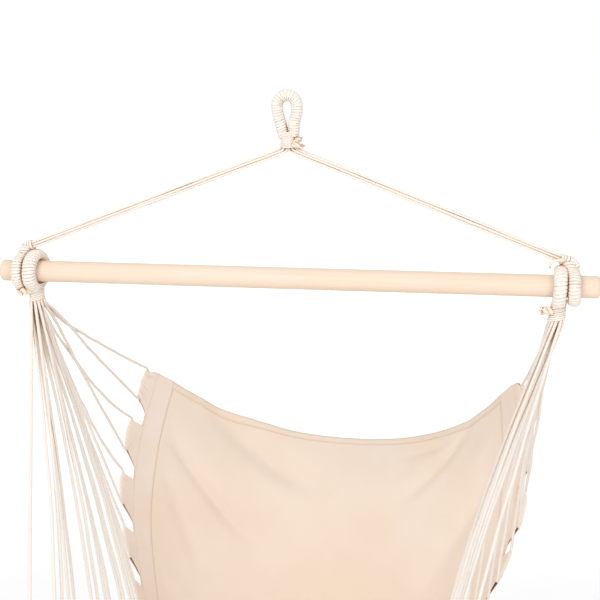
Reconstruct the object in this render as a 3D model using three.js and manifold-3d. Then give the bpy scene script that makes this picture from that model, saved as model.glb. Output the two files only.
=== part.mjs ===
// Hammock chair: a cloth seat slung by cotton cords from a wooden spreader bar, which hangs from one eye.
// Lengths are in millimetres and +Z is up. X runs along the bar and +Y points behind the sitter.
// The origin is the top of the hanging eye's hole, where the hook bears.
import * as THREE from "three";
import { mergeVertices } from "three/addons/utils/BufferGeometryUtils.js";
import Module from "manifold-3d";

const wasm = await Module();
wasm.setup();

// Seating gap between pieces, running gap round the bar, and how far a cut runs past what it cuts
const GAP = 0.3;
const BAR_GAP = 0.6;
const CUT_OVERRUN = 2;

// Spreader bar
const BAR_LENGTH = 1000;
const BAR_RADIUS = 18;
const BAR_END_ROUND = 3;
const BAR_DROP = 288;

// Cords
const HARNESS_CORD = 3.8;
const SUSPENSION_CORD = 4.4;
const WRAP_CORD = 4;
const BINDING_CORD = 3.3;
const CORD_SPACE = 0.6;

// Wound loops: two round the bar at each end, and the hanging eye
const RING_ROPE = 20;
const HARNESS_RING_INSET = 60;
const HARNESS_THROAT = 27;
const LOOP_SPACE = 4.3;
const EYE_ROPE = 19.4;
const EYE_RADIUS = 15.8;
const EYE_THROAT = 38;
const SUSPENSION_THROAT = 30;
const TURN_GAP = 0.5;

// Necks, where a loop's two legs are bound together
const NECK_DIAMETER = 28;
const NECK_MERGE = 8;
const HARNESS_NECK = 20;
const EYE_NECK = 21;
const NECK_FLARE = 4;
const THROAT_DIAMETER = 17;
const THROAT_LENGTH = 13;
const THROAT_RISE = 42.5;
const THROAT_LEAN = 9;
const ARM_LENGTH = 22;
const ARM_DROP = 5;

// Loose ends of the bindings
const TAIL_LENGTH = 15;
const TAIL_DROOP = 6;
const THROAT_TAIL_LENGTH = 24;

// Cloth: a rectangle whose side edges hang from the harness cords
const CLOTH_WIDTH = 900;
const CLOTH_THICKNESS = 2;
const BAND_THICKNESS = 2.6;
const TAB_THICKNESS = 2;
const TAB_DEPTH = 25;
const BAND_WIDTH = 48;
const TAB_LENGTH = 60;
const TAB_SPREAD = 32;
const TAB_OVERLAP = 2;
const SLEEVE_WALL = 0.9;
const SLING_HALF_WIDTH = 390;
const SLING_BACK = 405;
const SLING_FRONT = 578;
const SLING_DROP = 830;
const FOLD_DEPTH = 8;
const FOLD_WIDTH = 34;

// Harness cords: where they leave the neck, and how they turn into a tab
const FAN_DROP = 5;
const FAN_BULGE = 5;
const MOUTH_LEAD = 7;
const CORD_BEND = 5;

// Counts
const TABS = 12;
const LAST_TABS = 3;
const EYE_TURNS = 16;
const HARNESS_RING_TURNS = 18;
const SUSPENSION_RING_TURNS = 16;
const NECK_TURNS = 4;
const EYE_NECK_TURNS = 4;
const THROAT_TURNS = 2;
const TURN_STEPS = 8;
const TURN_SIDES = 4;
const CORD_SIDES = 5;
const CORE_SIDES = 8;
const STEM_SIDES = 14;
const CORE_STEPS = 16;
const BAR_SIDES = 24;
const SLEEVE_SIDES = 6;
const BEND_STEPS = 2;
const BOW_STEPS = 4;
const END_STEPS = 2;
const PANEL_COLUMNS = 18;
const PANEL_ROWS = 24;
const SUSPENSION_ROWS = 3;
const SUSPENSION_LAYERS = 2;
const CORDS_ROUND_NECK = [3, 9, 12];
const SEARCH_STEPS = 30;
const NUMBER_DIGITS = 2;

// Power of the curve that the cloth hangs in from side to side, and how far its sag turns downward
const SAG_POWER_SHARE = 2.6;
const SAG_LEAN_SHARE = 0.31;
// Side edge, from the back's top corner to the knee corner: half width, reach behind or ahead, and drop
const EDGE_SHARES = [
  [0.944, 1, 0.311],
  [0.985, 0.8, 0.441],
  [0.96, 0.6, 0.576],
  [0.84, 0.38, 0.711],
  [0.69, 0.13, 0.829],
  [0.59, -0.15, 0.935],
  [0.56, -0.42, 0.995],
  [0.585, -0.7, 1],
  [0.66, -1, 0.935],
];
// Main folds of one half: start and end, each as shares of the cloth's width and of the edge's length
const FOLD_SHARES = [
  [0.08, 0.05, 0.27, 0.2],
  [0.17, 0.02, 0.44, 0.08],
  [0.09, 0.27, 0.32, 0.42],
];
// Sag of a harness strand against its length: the slack first strands from the back, and all the others
const SLACK_SHARES = [0.022, 0.065, 0.07, 0.037, 0.02];
const BOW_SHARE = 0.008;

const material = (name, color, roughness) =>
  new THREE.MeshStandardMaterial({ name, color, roughness, metalness: 0 });
const wood = material("wood", 0xf3d6b4, 0.55);
const cord = material("cord", 0xefe3d3, 0.95);
const cloth = material("cloth", 0xe9d8c2, 0.95);

// Everything is placed from the bar's centre, which hangs below the origin.
const chair = new THREE.Group();
chair.position.z = -BAR_DROP;

const vec = (x, y, z) => new THREE.Vector3(x, y, z);
const along = (from, to, share) => from.clone().lerp(to, share);
const UP = vec(0, 0, 1);
const AXIS_X = vec(1, 0, 0);
const AXIS_Y = vec(0, 1, 0);

function addPiece(name, geometry, look) {
  const mesh = new THREE.Mesh(geometry, look);
  mesh.name = name;
  chair.add(mesh);
}

function facesGeometry(positions, faces) {
  const geometry = new THREE.BufferGeometry();
  geometry.setAttribute("position", new THREE.Float32BufferAttribute(positions, 3));
  geometry.setIndex(faces);
  return geometry;
}

// A closed tube through rings of points, given as arrays of equal length, with flat ends.
function skinRings(rings) {
  const sides = rings[0].length;
  const positions = rings.flat().flatMap((p) => [p.x, p.y, p.z]);
  const faces = [];
  for (let i = 0; i + 1 < rings.length; i++) {
    for (let j = 0; j < sides; j++) {
      const a = i * sides + j;
      const b = i * sides + ((j + 1) % sides);
      faces.push(a, b, a + sides, b, b + sides, a + sides);
    }
  }
  const last = (rings.length - 1) * sides;
  for (let j = 1; j + 1 < sides; j++) {
    faces.push(0, j + 1, j);
    faces.push(last, last + j, last + j + 1);
  }
  return facesGeometry(positions, faces);
}

// Round sections along points, with a radius for each, carried along without twist.
function ringsAlong(points, radii, sides) {
  const across = vec(0, 0, 0);
  return points.map((point, i) => {
    const before = points[Math.max(i - 1, 0)];
    const after = points[Math.min(i + 1, points.length - 1)];
    const tangent = after.clone().sub(before).normalize();
    if (i === 0) {
      across.copy(Math.abs(tangent.x) < Math.SQRT1_2 ? AXIS_X : UP);
    }
    across.addScaledVector(tangent, -across.dot(tangent)).normalize();
    const other = tangent.clone().cross(across);
    return ringRound(point, across, other, radii[i], sides, 0);
  });
}

const taperAlong = (points, radii, sides) => skinRings(ringsAlong(points, radii, sides));

function ringRound(centre, across, other, radius, sides, startShare) {
  const ring = [];
  for (let j = 0; j < sides; j++) {
    const angle = (2 * Math.PI * (j + startShare)) / sides;
    const point = centre.clone().addScaledVector(across, radius * Math.cos(angle));
    ring.push(point.addScaledVector(other, radius * Math.sin(angle)));
  }
  return ring;
}

const tubeAlong = (points, radius, sides) => taperAlong(points, points.map(() => radius), sides);

// A sheet of even thickness round a grid of points, rows of equal length.
function sheetRound(grid, thickness) {
  const rows = grid.length;
  const columns = grid[0].length;
  const clampRow = (r) => Math.min(Math.max(r, 0), rows - 1);
  const clampColumn = (c) => Math.min(Math.max(c, 0), columns - 1);
  const positions = [];
  for (const side of [1, -1]) {
    for (let r = 0; r < rows; r++) {
      for (let c = 0; c < columns; c++) {
        const acrossRow = grid[r][clampColumn(c + 1)].clone().sub(grid[r][clampColumn(c - 1)]);
        const downColumn = grid[clampRow(r + 1)][c].clone().sub(grid[clampRow(r - 1)][c]);
        const normal = acrossRow.cross(downColumn).normalize();
        const point = grid[r][c].clone().addScaledVector(normal, (side * thickness) / 2);
        positions.push(point.x, point.y, point.z);
      }
    }
  }
  const top = (r, c) => r * columns + c;
  const bottom = (r, c) => (rows + r) * columns + c;
  const faces = [];
  for (let r = 0; r + 1 < rows; r++) {
    for (let c = 0; c + 1 < columns; c++) {
      faces.push(top(r, c), top(r, c + 1), top(r + 1, c + 1));
      faces.push(top(r, c), top(r + 1, c + 1), top(r + 1, c));
      faces.push(bottom(r, c), bottom(r + 1, c + 1), bottom(r, c + 1));
      faces.push(bottom(r, c), bottom(r + 1, c), bottom(r + 1, c + 1));
    }
  }
  const rim = [];
  for (let c = 0; c + 1 < columns; c++) {
    rim.push([0, c]);
  }
  for (let r = 0; r + 1 < rows; r++) {
    rim.push([r, columns - 1]);
  }
  for (let c = columns - 1; c > 0; c--) {
    rim.push([rows - 1, c]);
  }
  for (let r = rows - 1; r > 0; r--) {
    rim.push([r, 0]);
  }
  rim.forEach(([r, c], i) => {
    const [nextRow, nextColumn] = rim[(i + 1) % rim.length];
    faces.push(top(r, c), bottom(r, c), bottom(nextRow, nextColumn));
    faces.push(top(r, c), bottom(nextRow, nextColumn), top(nextRow, nextColumn));
  });
  return facesGeometry(positions, faces);
}

function toSolid(geometry) {
  const bare = geometry.index ? geometry.toNonIndexed() : geometry.clone();
  bare.deleteAttribute("normal");
  bare.deleteAttribute("uv");
  const merged = mergeVertices(bare);
  return new wasm.Manifold(
    new wasm.Mesh({
      numProp: 3,
      vertProperties: new Float32Array(merged.attributes.position.array),
      triVerts: new Uint32Array(merged.index.array),
    }),
  );
}

function toGeometry(solid) {
  const mesh = solid.getMesh();
  const geometry = new THREE.BufferGeometry();
  geometry.setAttribute("position", new THREE.BufferAttribute(mesh.vertProperties, 3));
  geometry.setIndex(new THREE.BufferAttribute(mesh.triVerts, 1));
  return geometry;
}

const sideName = (side) => (side < 0 ? "left" : "right");

// Spreader bar: a round rod along X with rounded ends.
function makeBar() {
  const half = BAR_LENGTH / 2;
  const inset = BAR_RADIUS - BAR_END_ROUND;
  const profile = [new THREE.Vector2(0, -half)];
  for (const [end, from] of [[-1, -Math.PI / 2], [1, 0]]) {
    for (let i = 0; i <= END_STEPS; i++) {
      const angle = from + (Math.PI / 2) * (i / END_STEPS);
      const out = inset + BAR_END_ROUND * Math.cos(angle);
      const place = end * (half - BAR_END_ROUND) + BAR_END_ROUND * Math.sin(angle);
      profile.push(new THREE.Vector2(out, place));
    }
  }
  profile.push(new THREE.Vector2(0, half));
  const geometry = new THREE.LatheGeometry(profile, BAR_SIDES);
  geometry.rotateZ(-Math.PI / 2);
  addPiece("spreader_bar", geometry, wood);
}

// Centreline of a loop in its own plane: round a circle about the origin, open towards a throat below.
function loopPath(radius, throat, rope) {
  const side = rope / 2 + TURN_GAP;
  const reach = Math.hypot(side, throat);
  const leave = Math.acos(radius / reach) - Math.atan2(throat, side);
  const path = new THREE.Path();
  path.moveTo(-side, -throat);
  path.lineTo(-radius * Math.cos(leave), radius * Math.sin(leave));
  path.absarc(0, 0, radius, Math.PI - leave, leave, true);
  path.lineTo(side, -throat);
  return path;
}

// What a winding of the given outer diameter leaves room for inside.
function coreRadius(diameter, wrapCord) {
  return ((diameter - wrapCord) / 2) * Math.cos(Math.PI / TURN_STEPS) - wrapCord / 2 - GAP;
}

// Least distance between turns, from cord surface to cord surface.
function leastGap(centres, wrapCord) {
  let least = Infinity;
  for (let i = 0; i < centres.length; i++) {
    for (let j = i + TURN_STEPS / 2; j < centres.length; j++) {
      least = Math.min(least, centres[i].distanceTo(centres[j]));
    }
  }
  return least - wrapCord;
}

// One unbroken cord wound round a centreline. frameAt(share) gives the point and two directions across it.
function makeWinding(name, frameAt, diameter, wrapCord, turns) {
  const steps = turns * TURN_STEPS;
  const radials = [];
  const centres = [];
  for (let i = 0; i <= steps; i++) {
    const { point, across, other } = frameAt(i / steps);
    const angle = (2 * Math.PI * i) / TURN_STEPS;
    const radial = across.clone().multiplyScalar(Math.cos(angle)).addScaledVector(other, Math.sin(angle));
    radials.push(radial);
    centres.push(point.clone().addScaledVector(radial, (diameter - wrapCord) / 2));
  }
  const corner = wrapCord / 2 / Math.cos(Math.PI / TURN_SIDES);
  const rings = centres.map((centre, i) => {
    const before = centres[Math.max(i - 1, 0)];
    const after = centres[Math.min(i + 1, steps)];
    const tangent = after.clone().sub(before).normalize();
    const out = radials[i].clone().addScaledVector(tangent, -radials[i].dot(tangent)).normalize();
    return ringRound(centre, out, tangent.clone().cross(out), corner, TURN_SIDES, 1 / 2);
  });
  console.log(`${name}: least gap between turns ${leastGap(centres, wrapCord).toFixed(2)} mm`);
  addPiece(name, skinRings(rings), cord);
}

// Places a loop's own plane: (p, q) lies at centre + p * pAxis + q * qAxis.
const placer = (centre, pAxis, qAxis) => (p, q) =>
  centre.clone().addScaledVector(pAxis, p).addScaledVector(qAxis, q);

function windLoop(name, path, place, rope, wrapCord, turns, normal) {
  const origin = place(0, 0);
  const frameAt = (share) => {
    const point = path.getPointAt(share);
    const heading = path.getTangentAt(share);
    const tangent = place(heading.x, heading.y).sub(origin).normalize();
    return { point: place(point.x, point.y), across: normal, other: tangent.cross(normal) };
  };
  makeWinding(name, frameAt, rope, wrapCord, turns);
}

// The wound part of a loop's core, with its two legs drawn together below the throat.
function loopCore(path, place, radius, throat) {
  const merged = throat + NECK_MERGE;
  const offset = radius / 2;
  const points = [place(-offset, -merged - CUT_OVERRUN), place(-offset, -merged)];
  for (let i = 0; i <= CORE_STEPS; i++) {
    const point = path.getPointAt(i / CORE_STEPS);
    points.push(place(point.x, point.y));
  }
  points.push(place(offset, -merged), place(offset, -merged - CUT_OVERRUN));
  const rings = ringsAlong(points, points.map(() => radius), CORE_SIDES);
  const middle = (rings.length - 1) / 2;
  const halves = [rings.slice(0, middle + 1), rings.slice(middle)];
  return wasm.Manifold.union(halves.map((half) => toSolid(skinRings(half))));
}

// Turns of cord that bind a straight stem.
function bindStem(name, from, to, diameter, wrapCord, turns) {
  const tangent = to.clone().sub(from).normalize();
  const other = tangent.clone().cross(AXIS_Y);
  const frameAt = (share) => ({ point: along(from, to, share), across: AXIS_Y, other });
  makeWinding(name, frameAt, diameter, wrapCord, turns);
}

// The loose end of a binding, standing off its neck.
function makeTail(name, from, outward) {
  const tip = from.clone().add(outward).addScaledVector(UP, -TAIL_DROOP);
  const middle = along(from, tip, 1 / 2).addScaledVector(UP, TAIL_DROOP / 2);
  addPiece(name, tubeAlong([from, middle, tip], BINDING_CORD / 2, CORD_SIDES), cord);
}

// Harness loops: they hang over the bar, and their necks gather the harness cords below it.
const HARNESS_RING_X = BAR_LENGTH / 2 - HARNESS_RING_INSET;
const HARNESS_NECK_TOP = HARNESS_THROAT + NECK_MERGE;
const HARNESS_NECK_BOTTOM = HARNESS_NECK_TOP + HARNESS_NECK;
const HARNESS_CORD_PITCH = HARNESS_CORD + CORD_SPACE;
const neckRingRadii = [];
for (const count of CORDS_ROUND_NECK) {
  const inner = neckRingRadii.length > 0 ? neckRingRadii.at(-1) + HARNESS_CORD_PITCH : 0;
  neckRingRadii.push(Math.max(inner, HARNESS_CORD_PITCH / 2 / Math.sin(Math.PI / count)));
}
const HARNESS_FLARE = neckRingRadii.at(-1) + HARNESS_CORD / 2 + GAP;

function makeHarnessLoop(side) {
  const name = sideName(side);
  const place = placer(vec(side * HARNESS_RING_X, 0, 0), AXIS_Y, UP);
  const path = loopPath(BAR_RADIUS + BAR_GAP + RING_ROPE / 2, HARNESS_THROAT, RING_ROPE);
  const stemRadius = coreRadius(NECK_DIAMETER, BINDING_CORD);
  const stem = taperAlong(
    [
      place(0, CUT_OVERRUN - HARNESS_NECK_TOP),
      place(0, -HARNESS_NECK_BOTTOM),
      place(0, -HARNESS_NECK_BOTTOM - NECK_FLARE / 2),
      place(0, -HARNESS_NECK_BOTTOM - NECK_FLARE),
    ],
    [stemRadius, stemRadius, HARNESS_FLARE, HARNESS_FLARE],
    STEM_SIDES,
  );
  const core = loopCore(path, place, coreRadius(RING_ROPE, WRAP_CORD), HARNESS_THROAT);
  addPiece(`${name}_harness_loop_core`, toGeometry(core.add(toSolid(stem))), cord);
  windLoop(`${name}_harness_loop_wrap`, path, place, RING_ROPE, WRAP_CORD, HARNESS_RING_TURNS, AXIS_X);
  const from = place(0, -HARNESS_NECK_TOP - BINDING_CORD / 2);
  const to = place(0, -HARNESS_NECK_BOTTOM + BINDING_CORD / 2);
  bindStem(`${name}_harness_neck_binding`, from, to, NECK_DIAMETER, BINDING_CORD, NECK_TURNS);
  const root = along(from, to, 1 / 2);
  root.x -= NECK_DIAMETER / 2 + GAP;
  makeTail(`${name}_harness_binding_tail`, root, vec(-TAIL_LENGTH, 0, 0));
}

// Hanging eye: the two legs of the suspension cords are bound together and part again below the neck.
const EYE_CENTRE = vec(0, 0, BAR_DROP - EYE_RADIUS + EYE_ROPE / 2);
const EYE_NECK_TOP = EYE_THROAT + NECK_MERGE;
const EYE_NECK_BOTTOM = EYE_NECK_TOP + EYE_NECK;
const ARM_ROOT = EYE_CENTRE.clone().addScaledVector(UP, -EYE_NECK_BOTTOM - ARM_DROP);
const SUSPENSION_PITCH = SUSPENSION_CORD + CORD_SPACE;
const bundleHalf = (count) => ((count - 1) / 2) * SUSPENSION_PITCH;
const BUNDLE_RADIUS =
  Math.hypot(bundleHalf(SUSPENSION_ROWS), bundleHalf(SUSPENSION_LAYERS)) + SUSPENSION_CORD / 2;

// Each leg runs from the foot of the eye to the point where its loop's throat begins.
const SUSPENSION_RING_X = HARNESS_RING_X + RING_ROPE / 2 + LOOP_SPACE + EYE_ROPE / 2;
const throatFoot = (side) => vec(side * (SUSPENSION_RING_X - THROAT_LEAN), 0, THROAT_RISE);
const legHeading = (side) => ARM_ROOT.clone().sub(throatFoot(side)).normalize();
const throatEnd = (side) => throatFoot(side).addScaledVector(legHeading(side), THROAT_LENGTH + NECK_FLARE);
const armEnd = (side) => ARM_ROOT.clone().addScaledVector(legHeading(side), -ARM_LENGTH);

function makeHangingEye() {
  const place = placer(EYE_CENTRE, AXIS_X, UP);
  const path = loopPath(EYE_RADIUS, EYE_THROAT, EYE_ROPE);
  const stemRadius = coreRadius(NECK_DIAMETER, BINDING_CORD);
  const stem = tubeAlong([place(0, CUT_OVERRUN - EYE_NECK_TOP), ARM_ROOT], stemRadius, CORE_SIDES);
  let core = loopCore(path, place, coreRadius(EYE_ROPE, BINDING_CORD), EYE_THROAT).add(toSolid(stem));
  for (const side of [-1, 1]) {
    core = core.add(toSolid(tubeAlong([ARM_ROOT, armEnd(side)], BUNDLE_RADIUS, CORE_SIDES)));
  }
  addPiece("hanging_eye_core", toGeometry(core), cord);
  windLoop("hanging_eye_wrap", path, place, EYE_ROPE, BINDING_CORD, EYE_TURNS, AXIS_Y);
  const from = place(0, -EYE_NECK_TOP - BINDING_CORD / 2);
  const to = place(0, -EYE_NECK_BOTTOM + BINDING_CORD / 2);
  bindStem("hanging_eye_neck_binding", from, to, NECK_DIAMETER, BINDING_CORD, EYE_NECK_TURNS);
  const root = along(from, to, 1 / 2);
  root.x += NECK_DIAMETER / 2 + GAP;
  makeTail("hanging_eye_binding_tail", root, vec(TAIL_LENGTH, 0, 0));
}

// Suspension loops: they pass under the bar outside the harness loops, and lean over them to meet the legs.
function makeSuspensionLoop(side) {
  const name = sideName(side);
  const place = placer(vec(side * SUSPENSION_RING_X, 0, 0), AXIS_Y, UP.clone().negate());
  const path = loopPath(BAR_RADIUS + BAR_GAP + EYE_ROPE / 2, SUSPENSION_THROAT, EYE_ROPE);
  const foot = throatFoot(side);
  const heading = legHeading(side);
  const bound = foot.clone().addScaledVector(heading, THROAT_LENGTH);
  const flared = bound.clone().addScaledVector(heading, NECK_FLARE / 2);
  const loopRadius = coreRadius(EYE_ROPE, WRAP_CORD);
  const stemRadius = coreRadius(THROAT_DIAMETER, BINDING_CORD);
  const stem = taperAlong(
    [place(0, CUT_OVERRUN - SUSPENSION_THROAT - NECK_MERGE), foot, bound, flared, throatEnd(side)],
    [loopRadius, stemRadius, stemRadius, BUNDLE_RADIUS, BUNDLE_RADIUS],
    STEM_SIDES,
  );
  const core = loopCore(path, place, loopRadius, SUSPENSION_THROAT);
  addPiece(`${name}_suspension_loop_core`, toGeometry(core.add(toSolid(stem))), cord);
  const wrapName = `${name}_suspension_loop_wrap`;
  windLoop(wrapName, path, place, EYE_ROPE, WRAP_CORD, SUSPENSION_RING_TURNS, AXIS_X);
  const from = foot.clone().addScaledVector(heading, BINDING_CORD);
  const to = bound.clone().addScaledVector(heading, -BINDING_CORD / 2);
  const bindingName = `${name}_suspension_throat_binding`;
  bindStem(bindingName, from, to, THROAT_DIAMETER, BINDING_CORD, THROAT_TURNS);
  if (side > 0) {
    const root = along(from, to, 1 / 2);
    root.y -= (THROAT_DIAMETER + BINDING_CORD) / 2 + GAP;
    makeTail(`${name}_suspension_binding_tail`, root, vec(-THROAT_TAIL_LENGTH, -TAIL_DROOP, 0));
  }
}

function makeSuspensionCords(side) {
  const heading = legHeading(side);
  const start = throatEnd(side).addScaledVector(heading, GAP);
  const end = armEnd(side).addScaledVector(heading, -GAP);
  const rowAxis = heading.clone().cross(AXIS_Y);
  let number = 1;
  for (let row = 0; row < SUSPENSION_ROWS; row++) {
    for (let layer = 0; layer < SUSPENSION_LAYERS; layer++) {
      const aside = row * SUSPENSION_PITCH - bundleHalf(SUSPENSION_ROWS);
      const offset = rowAxis.clone().multiplyScalar(aside);
      offset.y += layer * SUSPENSION_PITCH - bundleHalf(SUSPENSION_LAYERS);
      const points = [start.clone().add(offset), end.clone().add(offset)];
      const name = `${sideName(side)}_suspension_cord_${number++}`;
      addPiece(name, tubeAlong(points, SUSPENSION_CORD / 2, CORD_SIDES), cord);
    }
  }
}

// The line that the cloth's right side edge hangs in, and the cloth across at each share of that line
const sideEdge = new THREE.CatmullRomCurve3(
  EDGE_SHARES.map(([out, reach, drop]) => {
    const depth = reach > 0 ? SLING_BACK : SLING_FRONT;
    return vec(out * SLING_HALF_WIDTH, reach * depth, -drop * SLING_DROP);
  }),
);
const EDGE_LENGTH = sideEdge.getLength();
console.log(`length of a side edge: ${EDGE_LENGTH.toFixed(0)} mm`);

class HangingLine extends THREE.Curve {
  constructor(end, sag) {
    super();
    this.end = end;
    this.sag = sag;
  }
  getPoint(t, target = vec(0, 0, 0)) {
    const out = 2 * t - 1;
    target.copy(this.end).addScaledVector(this.sag, 1 - Math.abs(out) ** SAG_POWER_SHARE);
    target.x = out * this.end.x;
    return target;
  }
}

// The cloth's line from left to right at a share of the side edge, sagging as far as its width allows.
function hangingLine(share) {
  const end = sideEdge.getPointAt(share);
  const heading = sideEdge.getTangentAt(share);
  const outward = vec(0, -heading.z, heading.y).normalize();
  outward.addScaledVector(UP, -SAG_LEAN_SHARE).normalize();
  let low = 0;
  let high = CLOTH_WIDTH / 2;
  let line = null;
  for (let i = 0; i < SEARCH_STEPS; i++) {
    const middle = (low + high) / 2;
    line = new HangingLine(end, outward.clone().multiplyScalar(middle));
    if (line.getLength() < CLOTH_WIDTH) {
      low = middle;
    } else {
      high = middle;
    }
  }
  return line;
}

// Point of the cloth at a distance in from one side edge.
function clothPoint(line, side, inset) {
  const share = inset / CLOTH_WIDTH;
  return line.getPointAt(side < 0 ? share : 1 - share);
}

const rowLines = [];
for (let r = 0; r <= PANEL_ROWS; r++) {
  rowLines.push(hangingLine(r / PANEL_ROWS));
}

// How far the main folds lift the cloth at a place given as shares of its width and of the edge's length.
function foldLift(acrossShare, downShare) {
  const mirrored = Math.min(acrossShare, 1 - acrossShare);
  let lift = 0;
  for (const [fromAcross, fromDown, toAcross, toDown] of FOLD_SHARES) {
    const from = new THREE.Vector2(fromAcross * CLOTH_WIDTH, fromDown * EDGE_LENGTH);
    const run = new THREE.Vector2(toAcross * CLOTH_WIDTH, toDown * EDGE_LENGTH).sub(from);
    const place = new THREE.Vector2(mirrored * CLOTH_WIDTH, downShare * EDGE_LENGTH).sub(from);
    const share = place.dot(run) / run.lengthSq();
    const aside = place.cross(run) / run.length();
    if (share > 0 && share < 1) {
      lift += Math.sin(Math.PI * share) * Math.exp(-((aside / FOLD_WIDTH) ** 2));
    }
  }
  return lift * FOLD_DEPTH;
}

const BAND_INNER = TAB_DEPTH + BAND_WIDTH;

function makePanel() {
  const inset = BAND_INNER + GAP;
  const grid = rowLines.map((line, r) => {
    const row = [];
    for (let c = 0; c <= PANEL_COLUMNS; c++) {
      const place = inset + ((CLOTH_WIDTH - 2 * inset) * c) / PANEL_COLUMNS;
      const point = line.getPointAt(place / CLOTH_WIDTH);
      const edge = Math.min(c, PANEL_COLUMNS - c) > 0 ? 1 : 0;
      const lift = edge * foldLift(place / CLOTH_WIDTH, r / PANEL_ROWS);
      row.push(point.addScaledVector(line.sag.clone().normalize(), -lift));
    }
    return row;
  });
  addPiece("seat_cloth", sheetRound(grid, CLOTH_THICKNESS), cloth);
}

// Tabs along a side edge: where each one's sleeve starts and ends, as shares of the edge.
const TAB_PITCH = (EDGE_LENGTH - TAB_LENGTH) / (TABS - 1);
const sleeveShares = (tab) => [
  (tab * TAB_PITCH) / EDGE_LENGTH,
  (tab * TAB_PITCH + TAB_LENGTH) / EDGE_LENGTH,
];
const SLEEVE_BORE = HARNESS_CORD / 2 + GAP;

// Where a tab's root starts and ends: longer than its sleeve, towards the knees but for the last tabs.
function rootShares(tab) {
  const turned = Math.max(0, (tab + 1 + LAST_TABS - TABS) / LAST_TABS);
  const start = tab * TAB_PITCH - TAB_SPREAD * turned;
  return [start / EDGE_LENGTH, (start + TAB_LENGTH + TAB_SPREAD) / EDGE_LENGTH];
}

// A corner of a hexagon with the given distance between its centre and its sides.
function sleeveCorner(distance, number) {
  const angle = (2 * Math.PI * (number + 1 / 2)) / SLEEVE_SIDES;
  const reach = distance / Math.cos(Math.PI / SLEEVE_SIDES);
  return new THREE.Vector2(reach * Math.cos(angle), reach * Math.sin(angle));
}

// Section of a sleeve, centred on its bore.
function sleeveOutline() {
  const outer = [];
  const inner = [];
  for (let i = 0; i < SLEEVE_SIDES; i++) {
    outer.push(sleeveCorner(SLEEVE_BORE + SLEEVE_WALL, i));
    inner.push(sleeveCorner(SLEEVE_BORE, i));
  }
  const outline = new THREE.Shape(outer);
  outline.holes.push(new THREE.Path(inner.reverse()));
  return outline;
}

// One tab: its sleeve runs straight between its mouths, and its plate spreads out from there to the strip.
function tabSolid(side, tab) {
  const mouths = sleeveShares(tab).map((share) => clothPoint(hangingLine(share), side, 0));
  const rootInset = TAB_DEPTH + TAB_OVERLAP;
  const roots = rootShares(tab).map((share) => clothPoint(hangingLine(share), side, rootInset));
  const heading = mouths[1].clone().sub(mouths[0]);
  const depth = heading.length();
  heading.normalize();
  const inward = along(roots[0], roots[1], 1 / 2).sub(along(mouths[0], mouths[1], 1 / 2));
  inward.addScaledVector(heading, -inward.dot(heading)).normalize();
  const basis = new THREE.Matrix4().makeBasis(inward, heading.clone().cross(inward), heading);
  const geometry = new THREE.ExtrudeGeometry(sleeveOutline(), { depth, bevelEnabled: false });
  const sleeve = toSolid(geometry.applyMatrix4(basis.setPosition(mouths[0])));
  const wall = SLEEVE_BORE + SLEEVE_WALL / 2;
  const grid = mouths.map((mouth, i) => [mouth.clone().addScaledVector(inward, wall), roots[i]]);
  return sleeve.add(toSolid(sheetRound(grid, TAB_THICKNESS)));
}

// Side band: a doubled strip along the panel, with a folded tab for each harness cord to run through.
function makeSideBand(side) {
  const strip = rowLines.map((line) => [
    clothPoint(line, side, TAB_DEPTH),
    clothPoint(line, side, BAND_INNER),
  ]);
  let band = toSolid(sheetRound(strip, BAND_THICKNESS));
  for (let tab = 0; tab < TABS; tab++) {
    band = band.add(tabSolid(side, tab));
  }
  addPiece(`${sideName(side)}_side_band`, toGeometry(band), cloth);
}

// Where the cords leave a neck, the rearmost first.
function neckPlaces(side) {
  const places = [];
  CORDS_ROUND_NECK.forEach((count, ring) => {
    const radius = neckRingRadii[ring];
    for (let i = 0; i < count; i++) {
      const angle = (2 * Math.PI * i) / count + Math.PI / 2;
      places.push(vec(side * radius * Math.cos(angle), radius * Math.sin(angle), 0));
    }
  });
  const rank = (length) => Math.round(length / GAP);
  places.sort((a, b) => rank(b.y) - rank(a.y) || a.x - b.x);
  const foot = vec(side * HARNESS_RING_X, 0, -HARNESS_NECK_BOTTOM - NECK_FLARE - GAP);
  return places.map((place) => place.add(foot));
}

// Rounds a corner of a route by cutting back along both of its runs.
function roundCorner(before, corner, after, cut) {
  const start = corner.clone().add(before.clone().sub(corner).setLength(cut));
  const end = corner.clone().add(after.clone().sub(corner).setLength(cut));
  return new THREE.QuadraticBezierCurve3(start, corner, end).getPoints(BEND_STEPS);
}

// Points of a strand that hangs between two others, with the given sag.
function bowPoints(from, to, sag) {
  const points = [];
  for (let i = 1; i < BOW_STEPS; i++) {
    const share = i / BOW_STEPS;
    const fromMiddle = 2 * share - 1;
    points.push(along(from, to, share).addScaledVector(UP, sag * (fromMiddle ** 2 - 1)));
  }
  return points;
}

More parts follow.
